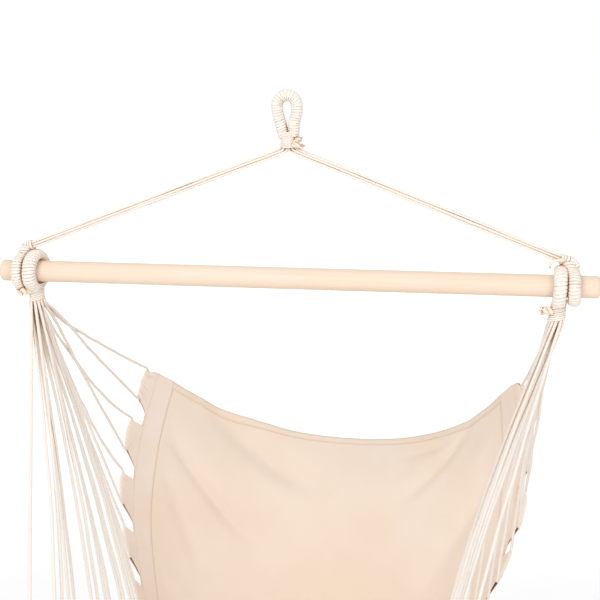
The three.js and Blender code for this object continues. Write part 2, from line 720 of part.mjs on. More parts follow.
// A harness cord: down from the neck, through one tab's sleeve, and back up to the neck.
function makeHarnessCord(side, tab, places) {
  const mouths = sleeveShares(tab).map((share) => clothPoint(hangingLine(share), side, 0));
  const heading = mouths[1].clone().sub(mouths[0]).normalize();
  const lead = [
    mouths[0].clone().addScaledVector(heading, -MOUTH_LEAD),
    mouths[1].clone().addScaledVector(heading, MOUTH_LEAD),
  ];
  const starts = [places[2 * tab], places[2 * tab + 1]];
  const bends = starts.map((start) => {
    const bulge = FAN_BULGE * (1 - Math.abs(start.y) / HARNESS_FLARE);
    return start.clone().addScaledVector(UP, -FAN_DROP - bulge);
  });
  const bows = [0, 1].map((i) => {
    const run = lead[i].clone().sub(bends[i]);
    const slack = i === 0 && tab < SLACK_SHARES.length;
    const share = slack ? SLACK_SHARES[tab] : (BOW_SHARE * Math.abs(run.y)) / run.length();
    return bowPoints(bends[i], lead[i], run.length() * share);
  });
  const points = [
    starts[0],
    ...roundCorner(starts[0], bends[0], bows[0][0], FAN_DROP / 2),
    ...bows[0],
    ...roundCorner(bows[0].at(-1), lead[0], mouths[0], CORD_BEND),
    ...roundCorner(mouths[1], lead[1], bows[1].at(-1), CORD_BEND),
    ...bows[1].toReversed(),
    ...roundCorner(bows[1][0], bends[1], starts[1], FAN_DROP / 2),
    starts[1],
  ];
  const name = `${sideName(side)}_harness_cord_${String(tab + 1).padStart(NUMBER_DIGITS, "0")}`;
  addPiece(name, tubeAlong(points, HARNESS_CORD / 2, CORD_SIDES), cord);
}

makeBar();
makeHangingEye();
makePanel();
for (const side of [-1, 1]) {
  makeHarnessLoop(side);
  makeSuspensionLoop(side);
  makeSuspensionCords(side);
  makeSideBand(side);
  const places = neckPlaces(side);
  for (let tab = 0; tab < TABS; tab++) {
    makeHarnessCord(side, tab, places);
  }
}

export default chair;
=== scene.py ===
"""Looks of the hammock chair: cotton cords, canvas sling and pine bar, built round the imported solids."""

import math

import bpy
import numpy as np
from mathutils import Euler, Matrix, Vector


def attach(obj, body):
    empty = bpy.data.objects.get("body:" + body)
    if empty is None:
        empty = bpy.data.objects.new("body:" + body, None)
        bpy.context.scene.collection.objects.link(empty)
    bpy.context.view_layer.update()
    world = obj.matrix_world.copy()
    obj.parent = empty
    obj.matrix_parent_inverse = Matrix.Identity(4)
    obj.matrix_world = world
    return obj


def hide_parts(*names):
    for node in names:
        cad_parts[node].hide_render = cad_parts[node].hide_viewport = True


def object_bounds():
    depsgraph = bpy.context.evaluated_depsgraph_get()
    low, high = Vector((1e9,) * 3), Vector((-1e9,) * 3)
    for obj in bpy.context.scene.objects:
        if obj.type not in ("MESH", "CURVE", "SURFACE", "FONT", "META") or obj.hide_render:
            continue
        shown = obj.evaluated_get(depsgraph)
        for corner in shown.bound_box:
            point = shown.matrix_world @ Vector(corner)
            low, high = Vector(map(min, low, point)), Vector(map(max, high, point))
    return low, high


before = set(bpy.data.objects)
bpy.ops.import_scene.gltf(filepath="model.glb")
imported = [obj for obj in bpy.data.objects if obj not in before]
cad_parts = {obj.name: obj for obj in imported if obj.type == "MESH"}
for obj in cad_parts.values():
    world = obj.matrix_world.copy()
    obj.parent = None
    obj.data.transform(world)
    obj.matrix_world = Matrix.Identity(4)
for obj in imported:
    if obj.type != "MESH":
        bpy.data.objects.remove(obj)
CAD_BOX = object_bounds()

# The camera as the photo gives it: focal length in pixels, place in metres, angles in degrees
PHOTO_WIDTH = 600
FOCAL_PIXELS = 1445
SENSOR = 36
CAMERA_REACH = 60
CAMERA_PLACE = (0.460, -2.300, 0.070)
CAMERA_TILT = 9.54
CAMERA_TURN = 10.9

# Each light's place and width in metres, and its power; both aim at one point
LIGHTS = {"key": ((-1.4, -3.4, 1.8), 2.0, 54), "fill": ((2.2, -3.4, 0.4), 2.2, 36)}
LIGHT_TARGET = (0, 0, -0.4)
WORLD_STRENGTH = 0.74
FLOOR_SIZE = 30
FLOOR_DROP = 0.42

# From here on lengths are in millimetres, from the bar's centre, which hangs BAR_DROP below the frame's origin.
MM = 0.001
BAR_DROP = 288.0
BAR_LENGTH = 1000.0
BAR_RADIUS = 18.0
BAR_END_ROUND = 6.0

HARNESS_CORD = 3.8
WRAP_CORD = 4.0
BINDING_CORD = 3.3
CORD_SPACE = 0.6
LAY_SHARE = 3.1
CORE_SIDES = 20
# Plain tubes take a low crown value by default, so the look paints them with the grooves' painted shade.
CORE_CROWN = 0.25
CORE_INSET = 0.6
# How far apart the points of paths lie
CORE_STEP = 3.0
HAIR_STEP = 0.9
PATH_STEP = 0.8
ARM_STEP = 1.5
HARNESS_STEP = 1.7
# The crown value of the middle of a cord's two ends
END_CROWNS = [0.4, 0.4]

HARNESS_RING_X = 440.0
SUSPENSION_RING_X = 464.0
RING_ROPE = 20.0
EYE_ROPE = 19.4
BAR_GAP = 0.6
TURN_GAP = 0.5
EYE_RADIUS = 15.8
EYE_THROAT = 38.0
HARNESS_THROAT = 27.0
SUSPENSION_THROAT = 30.0
NECK_MERGE = 8.0
NECK_DIAMETER = 28.0
HARNESS_NECK = 20.0
EYE_NECK = 21.0
THROAT_DIAMETER = 17.0
THROAT_RISE = 42.5
THROAT_LEAN = 9.0
ARM_DROP = 5.0
CORDS_ROUND_NECK = [3, 9, 12]
NECK_TOP = HARNESS_THROAT + NECK_MERGE
NECK_FOOT = NECK_TOP + HARNESS_NECK

CLOTH_WIDTH = 900.0
TABS = 12
TAB_LENGTH = 60.0
TAB_SPREAD = 32.0
LAST_TABS = 3
TAB_DEPTH = 25.0
BAND_WIDTH = 48.0
SLING_HALF_WIDTH = 390.0
SLING_BACK = 405.0
SLING_FRONT = 578.0
SLING_DROP = 830.0
SAG_POWER = 2.6
SAG_LEAN = 0.31
EDGE_SHARES = [
    (0.944, 1, 0.311),
    (0.985, 0.8, 0.441),
    (0.96, 0.6, 0.576),
    (0.84, 0.38, 0.711),
    (0.69, 0.13, 0.829),
    (0.59, -0.15, 0.935),
    (0.56, -0.42, 0.995),
    (0.585, -0.7, 1),
    (0.66, -1, 0.935),
]
SLACK_SHARES = [0.022, 0.065, 0.07, 0.037, 0.02]
BOW_SHARE = 0.008

# What the cords and cloth show beyond their solids. Loops: pitch of their turns, breadth, and how flat their top is.
HARNESS_LOOPS = {-1: (4.7, 1.26, 0.05), 1: (5.4, 1.12, 0.22)}
SUSPENSION_LOOPS = {-1: (4.3, 1.0, 0.2), 1: (4.9, 1.03, 0.32)}
THROAT_DROPS = {-1: 2.0, 1: 5.5}
COLLAR_LENGTHS = {-1: 13.0, 1: 20.0}
HARNESS_TUFTS = {-1: (-0.8, -0.6, 0.3), 1: (-1, -0.2, 0.25)}
LEFT_LOOP_TURN = math.radians(6)
NECK_SLANTS = {-1: -0.28, 1: -0.14}
HARNESS_TUFT_SIZES = {-1: (18.0, 20.0), 1: (17.0, 17.0)}
TURN_STEPS = 36
TURN_OVERLAP = 1.14
NECK_PITCH = 3.3
OPEN_PITCH = 4.4
LINE_CORD = 5.1
LINE_PITCH = 4.1
ARM_SHIFT = (-2.0, 0, 3.0)
HARNESS_NECK_CORD = 6.1
HARNESS_FREE_CORD = 5.8
HARNESS_TAB_CORD = 5.2
SWELL_LENGTH = 75.0
MOUTH_LEAD = 8.0
DRAWN_STARTS = {0: 3.0, 1: 1.5, 11: -1.5}
# How far the middle of each cord's two strands is drawn inwards from tab to tab, in bunches on the left
PULLS = {
    -1: [(0, 0)] * 3 + [(2, 3), (6, 8), (10, 12), (14, 18), (18, 16), (18, 20), (24, 11), (17, 22), (26, 3)],
    1: [(0, 0), (0, 2), (4, 7), (10, 13), (16, 19), (22, 23)]
    + [(24, 25), (26, 27), (28, 28), (29, 30), (31, 31), (30, 12)],
}
SLEEVE_RADIUS = 2.8
TAB_ROWS = 57
TAB_BULGE = 4.5
HEM = 14.0
STITCH_PITCH = 4.2
THREAD_RADIUS = 0.34
WEAVE_PITCH = 1.1 * MM
RAISE_DEPTH = 200.0
TOP_RAISE = (
    [3, 15, 30, 60, 110, 200, 260, 300, 350, 400, 450, 550, 650, 740, 800, 827, 860, 885, 897],
    [0, 7, 11, 14, 15, 16, 18, 16, 12, 9, 6, 5, 3, 4, 12, 17, 20, 16, 3],
)
# Folds of each half: (inset, down) where one starts and where it ends, its height, and its half width
FOLDS = {
    -1: [
        ((150, 2), (445, 130), -22, 30),
        ((84, 96), (315, 262), -16, 17),
        ((88, 165), (200, 330), -8, 18),
        ((60, 40), (240, 130), 6, 30),
        ((81, 340), (288, 529), 8, 34),
        ((90, 560), (240, 760), -6, 24),
    ],
    1: [
        ((150, 5), (330, 160), -12, 15),
        ((205, 30), (330, 46), -6, 9),
        ((80, 120), (260, 330), -10, 22),
        ((90, 40), (200, 150), 6, 30),
        ((81, 340), (288, 529), 8, 34),
        ((90, 600), (260, 780), -6, 24),
    ],
}

X, Y, Z = np.eye(3)
rng = np.random.default_rng(7)


def point(x, y, z):
    return np.array([x, y, z], float)


def unit(v):
    return v / np.maximum(np.linalg.norm(v, axis=-1, keepdims=True), 1e-9)


def mix(a, b, share):
    return a + (b - a) * share


def linked(name, data):
    """A new object in the scene."""
    made = bpy.data.objects.new(name, data)
    bpy.context.scene.collection.objects.link(made)
    return made


def make_camera():
    data = bpy.data.cameras.new("camera")
    data.sensor_width = SENSOR
    data.lens = SENSOR * FOCAL_PIXELS / PHOTO_WIDTH
    data.clip_end = CAMERA_REACH
    cam = linked("camera", data)
    cam.location = CAMERA_PLACE
    cam.rotation_euler = Euler((math.radians(90 - CAMERA_TILT), 0, math.radians(CAMERA_TURN)), "XYZ")
    bpy.context.scene.camera = cam


def add_piece(name, made, look, body, nodes=()):
    """One mesh object from points in millimetres, faces and point values. It rides on a body and stands for nodes."""
    verts, quads, tris, layers = made
    places = (verts - Z * BAR_DROP) * MM
    corners = np.concatenate([quads.ravel(), tris.ravel()])
    starts = np.concatenate([np.arange(len(quads)) * 4, 4 * len(quads) + np.arange(len(tris)) * 3])
    mesh = bpy.data.meshes.new(name)
    for items, key, values, kind in (
        (mesh.vertices, "co", places, np.float32),
        (mesh.loops, "vertex_index", corners, np.int32),
        (mesh.polygons, "loop_start", starts, np.int32),
    ):
        items.add(len(values))
        items.foreach_set(key, values.astype(kind).ravel())
    mesh.update(calc_edges=True)
    mesh.validate()
    mesh.shade_smooth()
    for key, values in layers.items():
        mesh.attributes.new(key, "FLOAT", "POINT").data.foreach_set("value", values.astype(np.float32))
    mesh.materials.append(look)
    piece = linked(name, mesh)
    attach(piece, body)
    if nodes:
        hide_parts(*nodes)
    return piece


class Gather:
    """Collects several tubes or shells into one piece."""

    def __init__(self):
        self.verts, self.quads, self.tris, self.layers, self.count = [], [], [], {}, 0

    def add(self, verts, quads, tris, layers):
        self.verts.append(verts)
        self.quads.append(quads + self.count)
        self.tris.append(tris + self.count)
        for key, values in layers.items():
            self.layers.setdefault(key, []).append(values)
        self.count += len(verts)
        return self

    def merged(self):
        layers = {key: np.concatenate(values) for key, values in self.layers.items()}
        return *map(np.concatenate, (self.verts, self.quads, self.tris)), layers


def skin(rings):
    """Faces of a closed tube through rings of points, shape (rings, sides, 3), with a cone at each end."""
    count, sides = rings.shape[:2]
    here = np.arange(sides)
    after = (here + 1) % sides
    first = np.arange(count - 1)[:, None] * sides
    a, b = (first + here).ravel(), (first + after).ravel()
    quads = np.stack([a, b, b + sides, a + sides], 1)
    last, tip = (count - 1) * sides, np.full(sides, count * sides)
    tris = np.concatenate([np.stack([tip, after, here], 1), np.stack([tip + 1, last + here, last + after], 1)])
    return np.concatenate([rings.reshape(-1, 3), rings[:1].mean(1), rings[-1:].mean(1)]), quads, tris


def once_round(sides):
    return 2 * np.pi * np.arange(sides) / sides


def even_tube(rings, crown):
    """A tube with one crown value all over, where 0 is deep in a groove and 1 is on top of a strand."""
    verts, *faces = skin(rings)
    return verts, *faces, {"crown": np.full(len(verts), crown)}


def rings_round(points, radii, angles):
    """A ring of points round each given one, at angles from a direction carried along without twist."""
    tangents = unit(np.gradient(points, axis=0))
    across = np.cross(tangents[0], X if abs(tangents[0][0]) < 0.8 else Z)
    across = across / np.linalg.norm(across)
    kept = []
    for tangent in tangents:
        across = across - tangent * (across @ tangent)
        across = across / math.sqrt(across @ across)
        kept.append(across)
    other = np.cross(tangents, kept)
    p, q = (radii * np.cos(angles))[..., None], (radii * np.sin(angles))[..., None]
    return points[:, None, :] + p * np.array(kept)[:, None, :] + q * other[:, None, :]


def plain_tube(points, radius, sides=CORE_SIDES, crown=CORE_CROWN):
    """A round tube along points. radius is one number or one a point."""
    radii = np.broadcast_to(radius, (len(points),))[:, None]
    return even_tube(rings_round(points, radii, once_round(sides)), crown)


def lobed(radius, count, turn, sides, groove):
    """Polar section of a laid cord: three strands that turn with it. Returns radii, angles and groove depth."""
    base = once_round(sides)
    crown = np.abs(np.cos(1.5 * base))
    crown = crown / crown.max()
    radii = radius[:, None] * (1 - groove * (1 - crown))[None, :]
    return radii, base[None, :] + turn[:, None], np.broadcast_to(crown, (count, sides))


def laid_cord(points, radius, phase=0.0, sides=9, groove=0.22, lay=LAY_SHARE):
    """A twisted cord along points. radius is one number or one a point."""
    radius = np.broadcast_to(radius, (len(points),))
    turn = phase + 2 * np.pi * lengths(points) / (lay * 2 * radius.max())
    radii, angles, crown = lobed(radius, len(points), turn, sides, groove)
    return *skin(rings_round(points, radii, angles)), {"crown": np.concatenate([crown.ravel(), END_CROWNS])}


def catmull(points, per=16):
    """Centripetal Catmull-Rom points through the given ones."""
    pts = np.asarray(points, float)
    ext = np.vstack([2 * pts[0] - pts[1], pts, 2 * pts[-1] - pts[-2]])
    out = []
    t = np.linspace(0, 1, per, endpoint=False)[:, None]
    for x0, x1, x2, x3 in zip(ext, ext[1:], ext[2:], ext[3:]):
        d0, d1, d2 = (max(np.linalg.norm(b - a), 1e-9) ** 0.5 for a, b in ((x0, x1), (x1, x2), (x2, x3)))
        t1 = ((x1 - x0) / d0 - (x2 - x0) / (d0 + d1) + (x2 - x1) / d1) * d1
        t2 = ((x2 - x1) / d1 - (x3 - x1) / (d1 + d2) + (x3 - x2) / d2) * d1
        c2 = -3 * x1 + 3 * x2 - 2 * t1 - t2
        c3 = 2 * x1 - 2 * x2 + t1 + t2
        out.append(x1 + t1 * t + c2 * t**2 + c3 * t**3)
    return np.vstack(out + [pts[-1:]])


def lengths(points):
    return np.concatenate([[0], np.cumsum(np.linalg.norm(np.diff(points, axis=0), axis=1))])


def rows_at(wanted, run, values):
    """A table's rows at distances along the run that its own rows lie on."""
    return np.stack([np.interp(wanted, run, column) for column in values.T], -1)


def at_lengths(points, wanted):
    """Points of a polyline at distances along it."""
    return rows_at(wanted, lengths(points), points)


def resample(points, step):
    run = lengths(points)
    return at_lengths(points, np.linspace(0, run[-1], max(int(round(run[-1] / step)), 2) + 1))


def face_normals(grid):
    return unit(np.cross(np.gradient(grid, axis=1), np.gradient(grid, axis=0)))


def shell(grid, thickness):
    """A closed thin solid round a grid of points (rows, columns, 3). thickness is a number or one a point."""
    rows, columns = grid.shape[:2]
    off = face_normals(grid) * (np.broadcast_to(thickness, (rows, columns))[..., None] / 2)
    verts = np.concatenate([grid + off, grid - off]).reshape(-1, 3)
    index = np.arange(rows * columns).reshape(rows, columns)
    a, b, c, d = index[:-1, :-1], index[:-1, 1:], index[1:, 1:], index[1:, :-1]
    top = np.stack([a, b, c, d], -1).reshape(-1, 4)
    low = np.stack([a, d, c, b], -1).reshape(-1, 4) + rows * columns
    rim = np.concatenate([index[0, :-1], index[:-1, -1], index[-1, :0:-1], index[:0:-1, 0]])
    nxt = np.roll(rim, -1)
    sides = np.stack([rim, rim + rows * columns, nxt + rows * columns, nxt], -1)
    return verts, np.concatenate([top, low, sides]), np.zeros((0, 3), int)


def cloth_layers(across, down, crease):
    """The cloth's own coordinates and how much painted shade its creases, seams and edges get, for both of its faces.
    """
    flat = [np.tile(np.ravel(values), 2) for values in (across * MM, down * MM, crease)]
    return dict(zip(("across", "down", "crease"), flat))


def colour(code):
    """A hex colour as linear values for a shader."""
    parts = [(code >> shift & 255) / 255 for shift in (16, 8, 0)]
    linear = [p / 12.92 if p <= 0.04045 else ((p + 0.055) / 1.055) ** 2.4 for p in parts]
    return (*linear, 1)


class Nodes:
    """A node tree built step by step."""

    def __init__(self, tree):
        self.nodes, self.links = tree.nodes, tree.links

    def feed(self, socket, value):
        """Gives a socket a constant or the output of another node."""
        if isinstance(value, bpy.types.NodeSocket):
            self.links.new(value, socket)
        else:
            socket.default_value = value

    def node(self, kind, **settings):
        made = self.nodes.new(kind)
        for key, value in settings.items():
            if key in made.inputs:
                self.feed(made.inputs[key], value)
            else:
                setattr(made, key, value)
        return made

    def math(self, operation, *values):
        made = self.node("ShaderNodeMath", operation=operation)
        for socket, value in zip(made.inputs, values):
            self.feed(socket, value)
        return made.outputs[0]

    def show(self, output, lit, seen):
        """Sends one shader to light, and another to the eye's rays: straight, in a gloss or through glass."""
        rays = self.node("ShaderNodeLightPath")
        total = rays.outputs["Is Camera Ray"]
        for name in ("Is Glossy Ray", "Is Transmission Ray"):
            total = self.math("MAXIMUM", total, rays.outputs[name])
        switch = self.node("ShaderNodeMixShader")
        for socket, value in zip(switch.inputs, (total, lit, seen)):
            self.feed(socket, value)
        self.feed(self.nodes[output].inputs["Surface"], switch.outputs[0])


class Look(Nodes):
    """A material on a Principled shader."""

    def __init__(self, name, roughness, sheen=0.0, specular=0.3):
        self.material = bpy.data.materials.new(name)
        self.material.use_nodes = True
        super().__init__(self.material.node_tree)
        self.shader = self.nodes["Principled BSDF"]
        for key, value in (("Roughness", roughness), ("Sheen Weight", sheen), ("Specular IOR Level", specular)):
            self.feed(self.shader.inputs[key], value)

    def place(self, scale=(1, 1, 1), shift=(0, 0, 0)):
        where = self.node("ShaderNodeTexCoord").outputs["Object"]
        return self.node("ShaderNodeMapping", Vector=where, Location=shift, Scale=scale).outputs["Vector"]

    def noise(self, vector, scale, detail):
        made = self.node("ShaderNodeTexNoise", Vector=vector, Scale=scale, Detail=detail, Roughness=0.55)
        return made.outputs["Fac"]

    def attribute(self, name):
        return self.node("ShaderNodeAttribute", attribute_name=name).outputs["Fac"]

    def ramp(self, factor, *stops):
        made = self.node("ShaderNodeValToRGB", Fac=factor)
        elements = made.color_ramp.elements
        for i in (0, -1):
            elements[i].position, elements[i].color = stops[i][0], colour(stops[i][1])
        for position, code in stops[1:-1]:
            elements.new(position).color = colour(code)
        return made.outputs["Color"]

    def blend(self, factor, a, b, mode="MIX"):
        made = self.node("ShaderNodeMix", data_type="RGBA", blend_type=mode)
        for number, value in ((0, factor), (6, a), (7, b)):
            self.feed(made.inputs[number], value)
        return made.outputs[2]

    def stain(self, base, mask, share, code):
        """Lays a share of a colour over the base where the mask is high."""
        return self.blend(self.math("MULTIPLY", mask, share), base, colour(code))

    def painted_gap_shade(self, base, reach):
        """Paints warm brown shade into a colour in narrow gaps, where ambient occlusion is high: painted shade, warm
        like light that cotton has already coloured.
        """
        gaps = self.node("ShaderNodeAmbientOcclusion", samples=4, Distance=reach)
        shade_tint = self.ramp(gaps.outputs["AO"], (0.1, 0xC89E72), (0.4, 0xF0D8BE), (0.72, 0xFFFFFF))
        return self.blend(1.0, base, shade_tint, "MULTIPLY")

    def finish(self, base, height=None, strength=0.3, distance=0.0005):
        self.feed(self.shader.inputs["Base Color"], base)
        if height is not None:
            bump = self.node("ShaderNodeBump", Strength=strength, Distance=distance, Height=height)
            self.feed(self.shader.inputs["Normal"], bump.outputs["Normal"])
        return self.material


def cord_look(name, crown_code, groove_shade_code, scale=900):
    """Twisted cotton: pale crowns, grooves darkened with painted shade, fine fibres, faint uneven patches, and
    painted brown shade in narrow gaps.
    """
    look = Look(name, 0.92, sheen=0.12, specular=0.12)
    where = look.place()
    fibres = look.noise(where, scale, 4)
    crown = look.math("POWER", look.attribute("crown"), 0.6)
    # Painted shade: the groove colour darkens the cord where its strands dip, by the crown value.
    base = look.ramp(crown, (0.0, groove_shade_code), (0.4, mid_code(groove_shade_code, crown_code)), (1.0, crown_code))
    base = look.stain(base, fibres, 0.1, groove_shade_code)
    base = look.stain(base, look.noise(where, 22, 3), 0.12, 0xF8EBDD)
    return look.finish(look.painted_gap_shade(base, 0.007), fibres, 0.35, 0.0004)


def mid_code(a, b):
    """A hex colour a quarter of the way back from the second to the first."""
    return sum(((a >> s & 255) + 3 * (b >> s & 255)) // 4 << s for s in (16, 8, 0))


def cloth_look(name, main_code, warm_code):
    """Plain-woven canvas: warp and weft from the cloth's own coordinates, slubs, faint warm patches, and painted
    brown shade along creases, seams and edges and in narrow gaps.
    """
    look = Look(name, 0.9, sheen=0.1, specular=0.1)
    where = look.place()
    slubs = look.noise(look.place((40, 40, 600)), 1.0, 3), look.noise(look.place((600, 60, 60)), 1.0, 3)
    waves = []
    for direction, wobble in zip(("across", "down"), slubs):
        turns = look.math("MULTIPLY", look.attribute(direction), 2 * math.pi / WEAVE_PITCH)
        waves.append(look.math("SINE", look.math("ADD", turns, look.math("MULTIPLY", wobble, 1.5))))
    height = look.math("ADD", look.math("MULTIPLY", *waves), look.math("MULTIPLY", look.noise(where, 420, 3), 1.4))
    base = look.ramp(look.noise(where, 7, 3), (0.35, main_code), (0.65, warm_code))
    base = look.stain(base, look.math("ADD", *slubs), 0.08, 0xDDC8AF)
    base = look.stain(base, look.math("GREATER_THAN", look.noise(where, 260, 2), 0.74), 0.35, 0xC9AB87)
    # Painted shade: warm brown laid over the cloth where its creases, seams and edges are marked.
    base = look.blend(look.attribute("crease"), base, colour(0xDFAE80))
    return look.finish(look.painted_gap_shade(base, 0.01), height, 0.3, 0.00025)


def wood_look():
    """Planed pine: fine fibres along the bar, faint growth lines, and short darker flecks."""
    look = Look("bar_pine", 0.5, specular=0.3)
    where = look.place((0.10, 1, 1), (0, 0.045, 0.335))
    settings = {"Vector": where, "Scale": 105, "Distortion": 3.0, "Detail": 3, "Detail Scale": 0.8}
    rings = look.node("ShaderNodeTexWave", wave_type="RINGS", rings_direction="X", **settings)
    fibres, streaks, clouds = (
        look.noise(look.place(scale), 1.0, detail)
        for scale, detail in (((9, 900, 900), 4), ((3.5, 170, 170), 4), ((2.5, 22, 22), 3))
    )
    base = look.ramp(clouds, (0.3, 0xEFE0D0), (0.7, 0xECD6C1))
    base = look.stain(base, rings.outputs["Fac"], 0.22, 0xEDCFB2)
    base = look.stain(base, look.ramp(streaks, (0.5, 0x000000), (0.72, 0xFFFFFF)), 0.38, 0xEBC8A8)
    base = look.stain(base, fibres, 0.14, 0xE6C5A4)
    return look.finish(base, fibres, 0.15, 0.0002)


def loop_path(radius, throat, rope, feet, broad, press):
    """Centreline of a loop in its own plane, foot to foot round the top, with its width and depth along it."""
    side = rope / 2 + TURN_GAP
    leave = math.acos(radius / math.hypot(side, throat)) - math.atan2(throat, side)
    angles = np.linspace(math.pi - leave, leave, 80)
    reach = radius - press * rope / 2 * np.maximum(np.sin(angles), 0) ** 2
    arc = np.stack([reach * np.cos(angles), reach * np.sin(angles)], 1)
    end = np.array([(side, -throat), *feet])
    path = resample(np.vstack([end[::-1] * (-1, 1), arc, end]), PATH_STEP)
    depth = 1 - press * np.clip(path[:, 1] / radius, 0, 1) ** 2
    return path, np.stack([broad * depth**-0.4, depth], 1)


def placed(path, centre, p_axis, q_axis):
    return centre + path[:, :1] * p_axis + path[:, 1:] * q_axis


def bent(straight, path, normal, spread):
    """Maps points (s, a, b) of a straight rope onto the rope that follows path, a along normal."""
    run = lengths(path)
    tangents = unit(np.gradient(path, axis=0))
    s = np.clip(straight[:, 0], 0, run[-1])
    base, along, other, wide = (rows_at(s, run, v) for v in (path, tangents, np.cross(tangents, normal), spread))
    base = base + (straight[:, 0] - s)[:, None] * unit(along)
    return base + straight[:, 1:2] * wide[:, :1] * normal + straight[:, 2:3] * wide[:, 1:] * unit(other)


def winding(path, normal, spread, diameters, cord, pitch, slant, wobble, seed):
    """A cord wound round a rope of one or two diameters. Turns crowd inside a bend and spread outside it."""
    local = np.random.default_rng(seed)
    total = lengths(path)[-1]
    turns = max(int(round(total / pitch)), 2)
    count = turns * TURN_STEPS
    t = np.arange(count + 1) / TURN_STEPS
    angle = 2 * np.pi * t
    knots = local.normal(0, 1, turns * 2 + 4)
    shift = np.interp(t * 2, np.arange(len(knots)), knots) * wobble
    lift = np.interp(t * 2, np.arange(len(knots)), np.roll(knots, 3)) * wobble
    reach = (np.interp(t / turns, [0, 1], np.broadcast_to(diameters, 2)) - cord) / 2 + lift
    a, b = reach * np.cos(angle), reach * np.sin(angle)
    s = t * total / turns + shift + slant[0] * a + slant[1] * b
    centre = np.stack([s, a, b], 1)
    radius = np.full(count + 1, cord / 2)
    radius[:4] *= np.linspace(0.4, 1, 4)
    radius[-4:] *= np.linspace(1, 0.4, 4)
    turn = 2 * np.pi * lengths(centre) / (LAY_SHARE * cord)
    radii, angles, crown = lobed(radius, count + 1, turn, 10, 0.08)
    # A wound cord's own grooves take only part of the painted groove shade.
    crown = 0.6 + 0.4 * crown
    radial = np.stack([np.zeros(count + 1), np.cos(angle), np.sin(angle)], 1)
    out, aside = squared(np.cos(angles)), squared(np.sin(angles))
    half = TURN_OVERLAP * total / turns / cord
    rings = (
        centre[:, None, :]
        + (radii * out)[..., None] * radial[:, None, :]
        + (radii * aside * half)[..., None] * X
    )
    verts, *faces = skin(rings)
    crowns = np.concatenate([crown.ravel(), END_CROWNS])
    # Painted shade: each turn's crown value falls at its sides, where it presses on its neighbours, so it darkens
    # there.
    crowns[: aside.size] *= (1 - 0.62 * np.clip(np.abs(aside), 0, 1) ** 9).ravel()
    return bent(verts, path, normal, spread), *faces, {"crown": crowns}


def squared(values):
    """Turns a circle's sine or cosine into a rounded square's, for cord pressed flat by its neighbours."""
    return np.sign(values) * np.abs(values) ** 0.8


def rope_core(path, normal, spread, rope, cord):
    """The strands inside a wound rope, as one tube that follows the same bends as its winding."""
    radius = rope / 2 - CORE_INSET * cord
    s, angle = np.meshgrid(np.linspace(0, lengths(path)[-1], 60), once_round(CORE_SIDES), indexing="ij")
    straight = np.stack([s, radius * np.cos(angle), radius * np.sin(angle)], -1)
    return even_tube(bent(straight.reshape(-1, 3), path, normal, spread).reshape(straight.shape), CORE_CROWN)


def tuft(root, heading, length, girth, seed, hairs=14):
    """Cut ends of a winding: a short twisted bundle that bursts into fibres."""
    local = np.random.default_rng(seed)
    made = Gather()
    heading = unit(np.asarray(heading, float))
    across = unit(np.cross(heading, Z))
    other = np.cross(heading, across)
    t = np.linspace(0, 1, 12)
    axis = root + heading * (t * length)[:, None] - Z * (0.12 * length * t**2)[:, None]
    for i in range(3):
        angle = 2 * math.pi * i / 3 + 3.4 * t + seed
        swell = girth * (0.17 + 0.12 * t)
        line = axis + (swell * np.cos(angle))[:, None] * across + (swell * np.sin(angle))[:, None] * other
        line = resample(catmull(line, 4)[: -2 * i or None], HAIR_STEP)
        made.add(*laid_cord(line, girth * np.linspace(0.25, 0.22, len(line)), i, 9, 0.2))
    for i in range(hairs):
        start = axis[-3] + local.normal(0, girth * 0.19, 3)
        spread = unit(heading + local.normal(0, 0.42, 3))
        tip = start + spread * length * local.uniform(0.28, 0.5)
        strand = resample(catmull([start, mix(start, tip, 0.5) + local.normal(0, 0.5, 3), tip]), HAIR_STEP)
        made.add(*laid_cord(strand, girth * np.linspace(0.07, 0.02, len(strand)), i, 5, 0.2, 4))
    return made


def make_bar():
    half, inset = BAR_LENGTH / 2, BAR_RADIUS - BAR_END_ROUND
    bend = np.linspace(0, math.pi / 2, 9)
    end = np.stack([BAR_END_ROUND * (1 - np.cos(bend)) - half, inset + BAR_END_ROUND * np.sin(bend)], 1)
    inner = np.stack([np.full(4, -half), inset * np.linspace(0.25, 0.97, 4)], 1)
    middle = np.stack([np.linspace(-half + 8, half - 8, 60), np.full(60, BAR_RADIUS)], 1)
    left = np.vstack([inner, end])
    profile = np.vstack([left, middle, left[::-1] * (-1, 1)])
    angles = once_round(96)
    wave = 1 + 0.002 * np.sin(profile[:, :1] * 0.011 + 2 * angles) + 0.0015 * np.sin(profile[:, :1] * 0.03 + angles)
    wave = np.minimum(wave, 1.0)
    run, radii = profile[:, :1] * np.ones(len(angles)), profile[:, 1:] * wave
    rings = np.stack([run, radii * np.cos(angles), radii * np.sin(angles)], -1)
    add_piece("bar_dowel", (*skin(rings), {}), wood_look(), "bar", ["spreader_bar"])


def side_name(side):
    return "left" if side < 0 else "right"


def stem_path(*points):
    return resample(catmull(points), PATH_STEP)


def adder(stem, looks, body, move=None):
    """Adds pieces of wound or laid cord that each stand for one solid, with a last bend of their points."""

    def add(part, node, made, look):
        verts, *rest = made
        verts = move(verts) if move else verts
        add_piece(f"{stem}_{part}", (verts, *rest), looks[look], body, [f"{stem}_{node}"])

    return add


def add_loop(add, stem, route, rope, cord, pitch, slant, seed, tube, free=slice(None)):
    """A loop's core, with the tube that runs on below it, and the turns over the free part of its route."""
    path, normal, spread = route
    core = Gather().add(*rope_core(*route, rope, cord)).add(*tube)
    add(f"{stem}rope", f"{stem}core", core.merged(), "core")
    wrap = winding(path[free], normal, spread[free], rope, cord, pitch, (slant, 0.0), 0.12, seed)
    add(f"{stem}turns", f"{stem}wrap", wrap, "wrap")


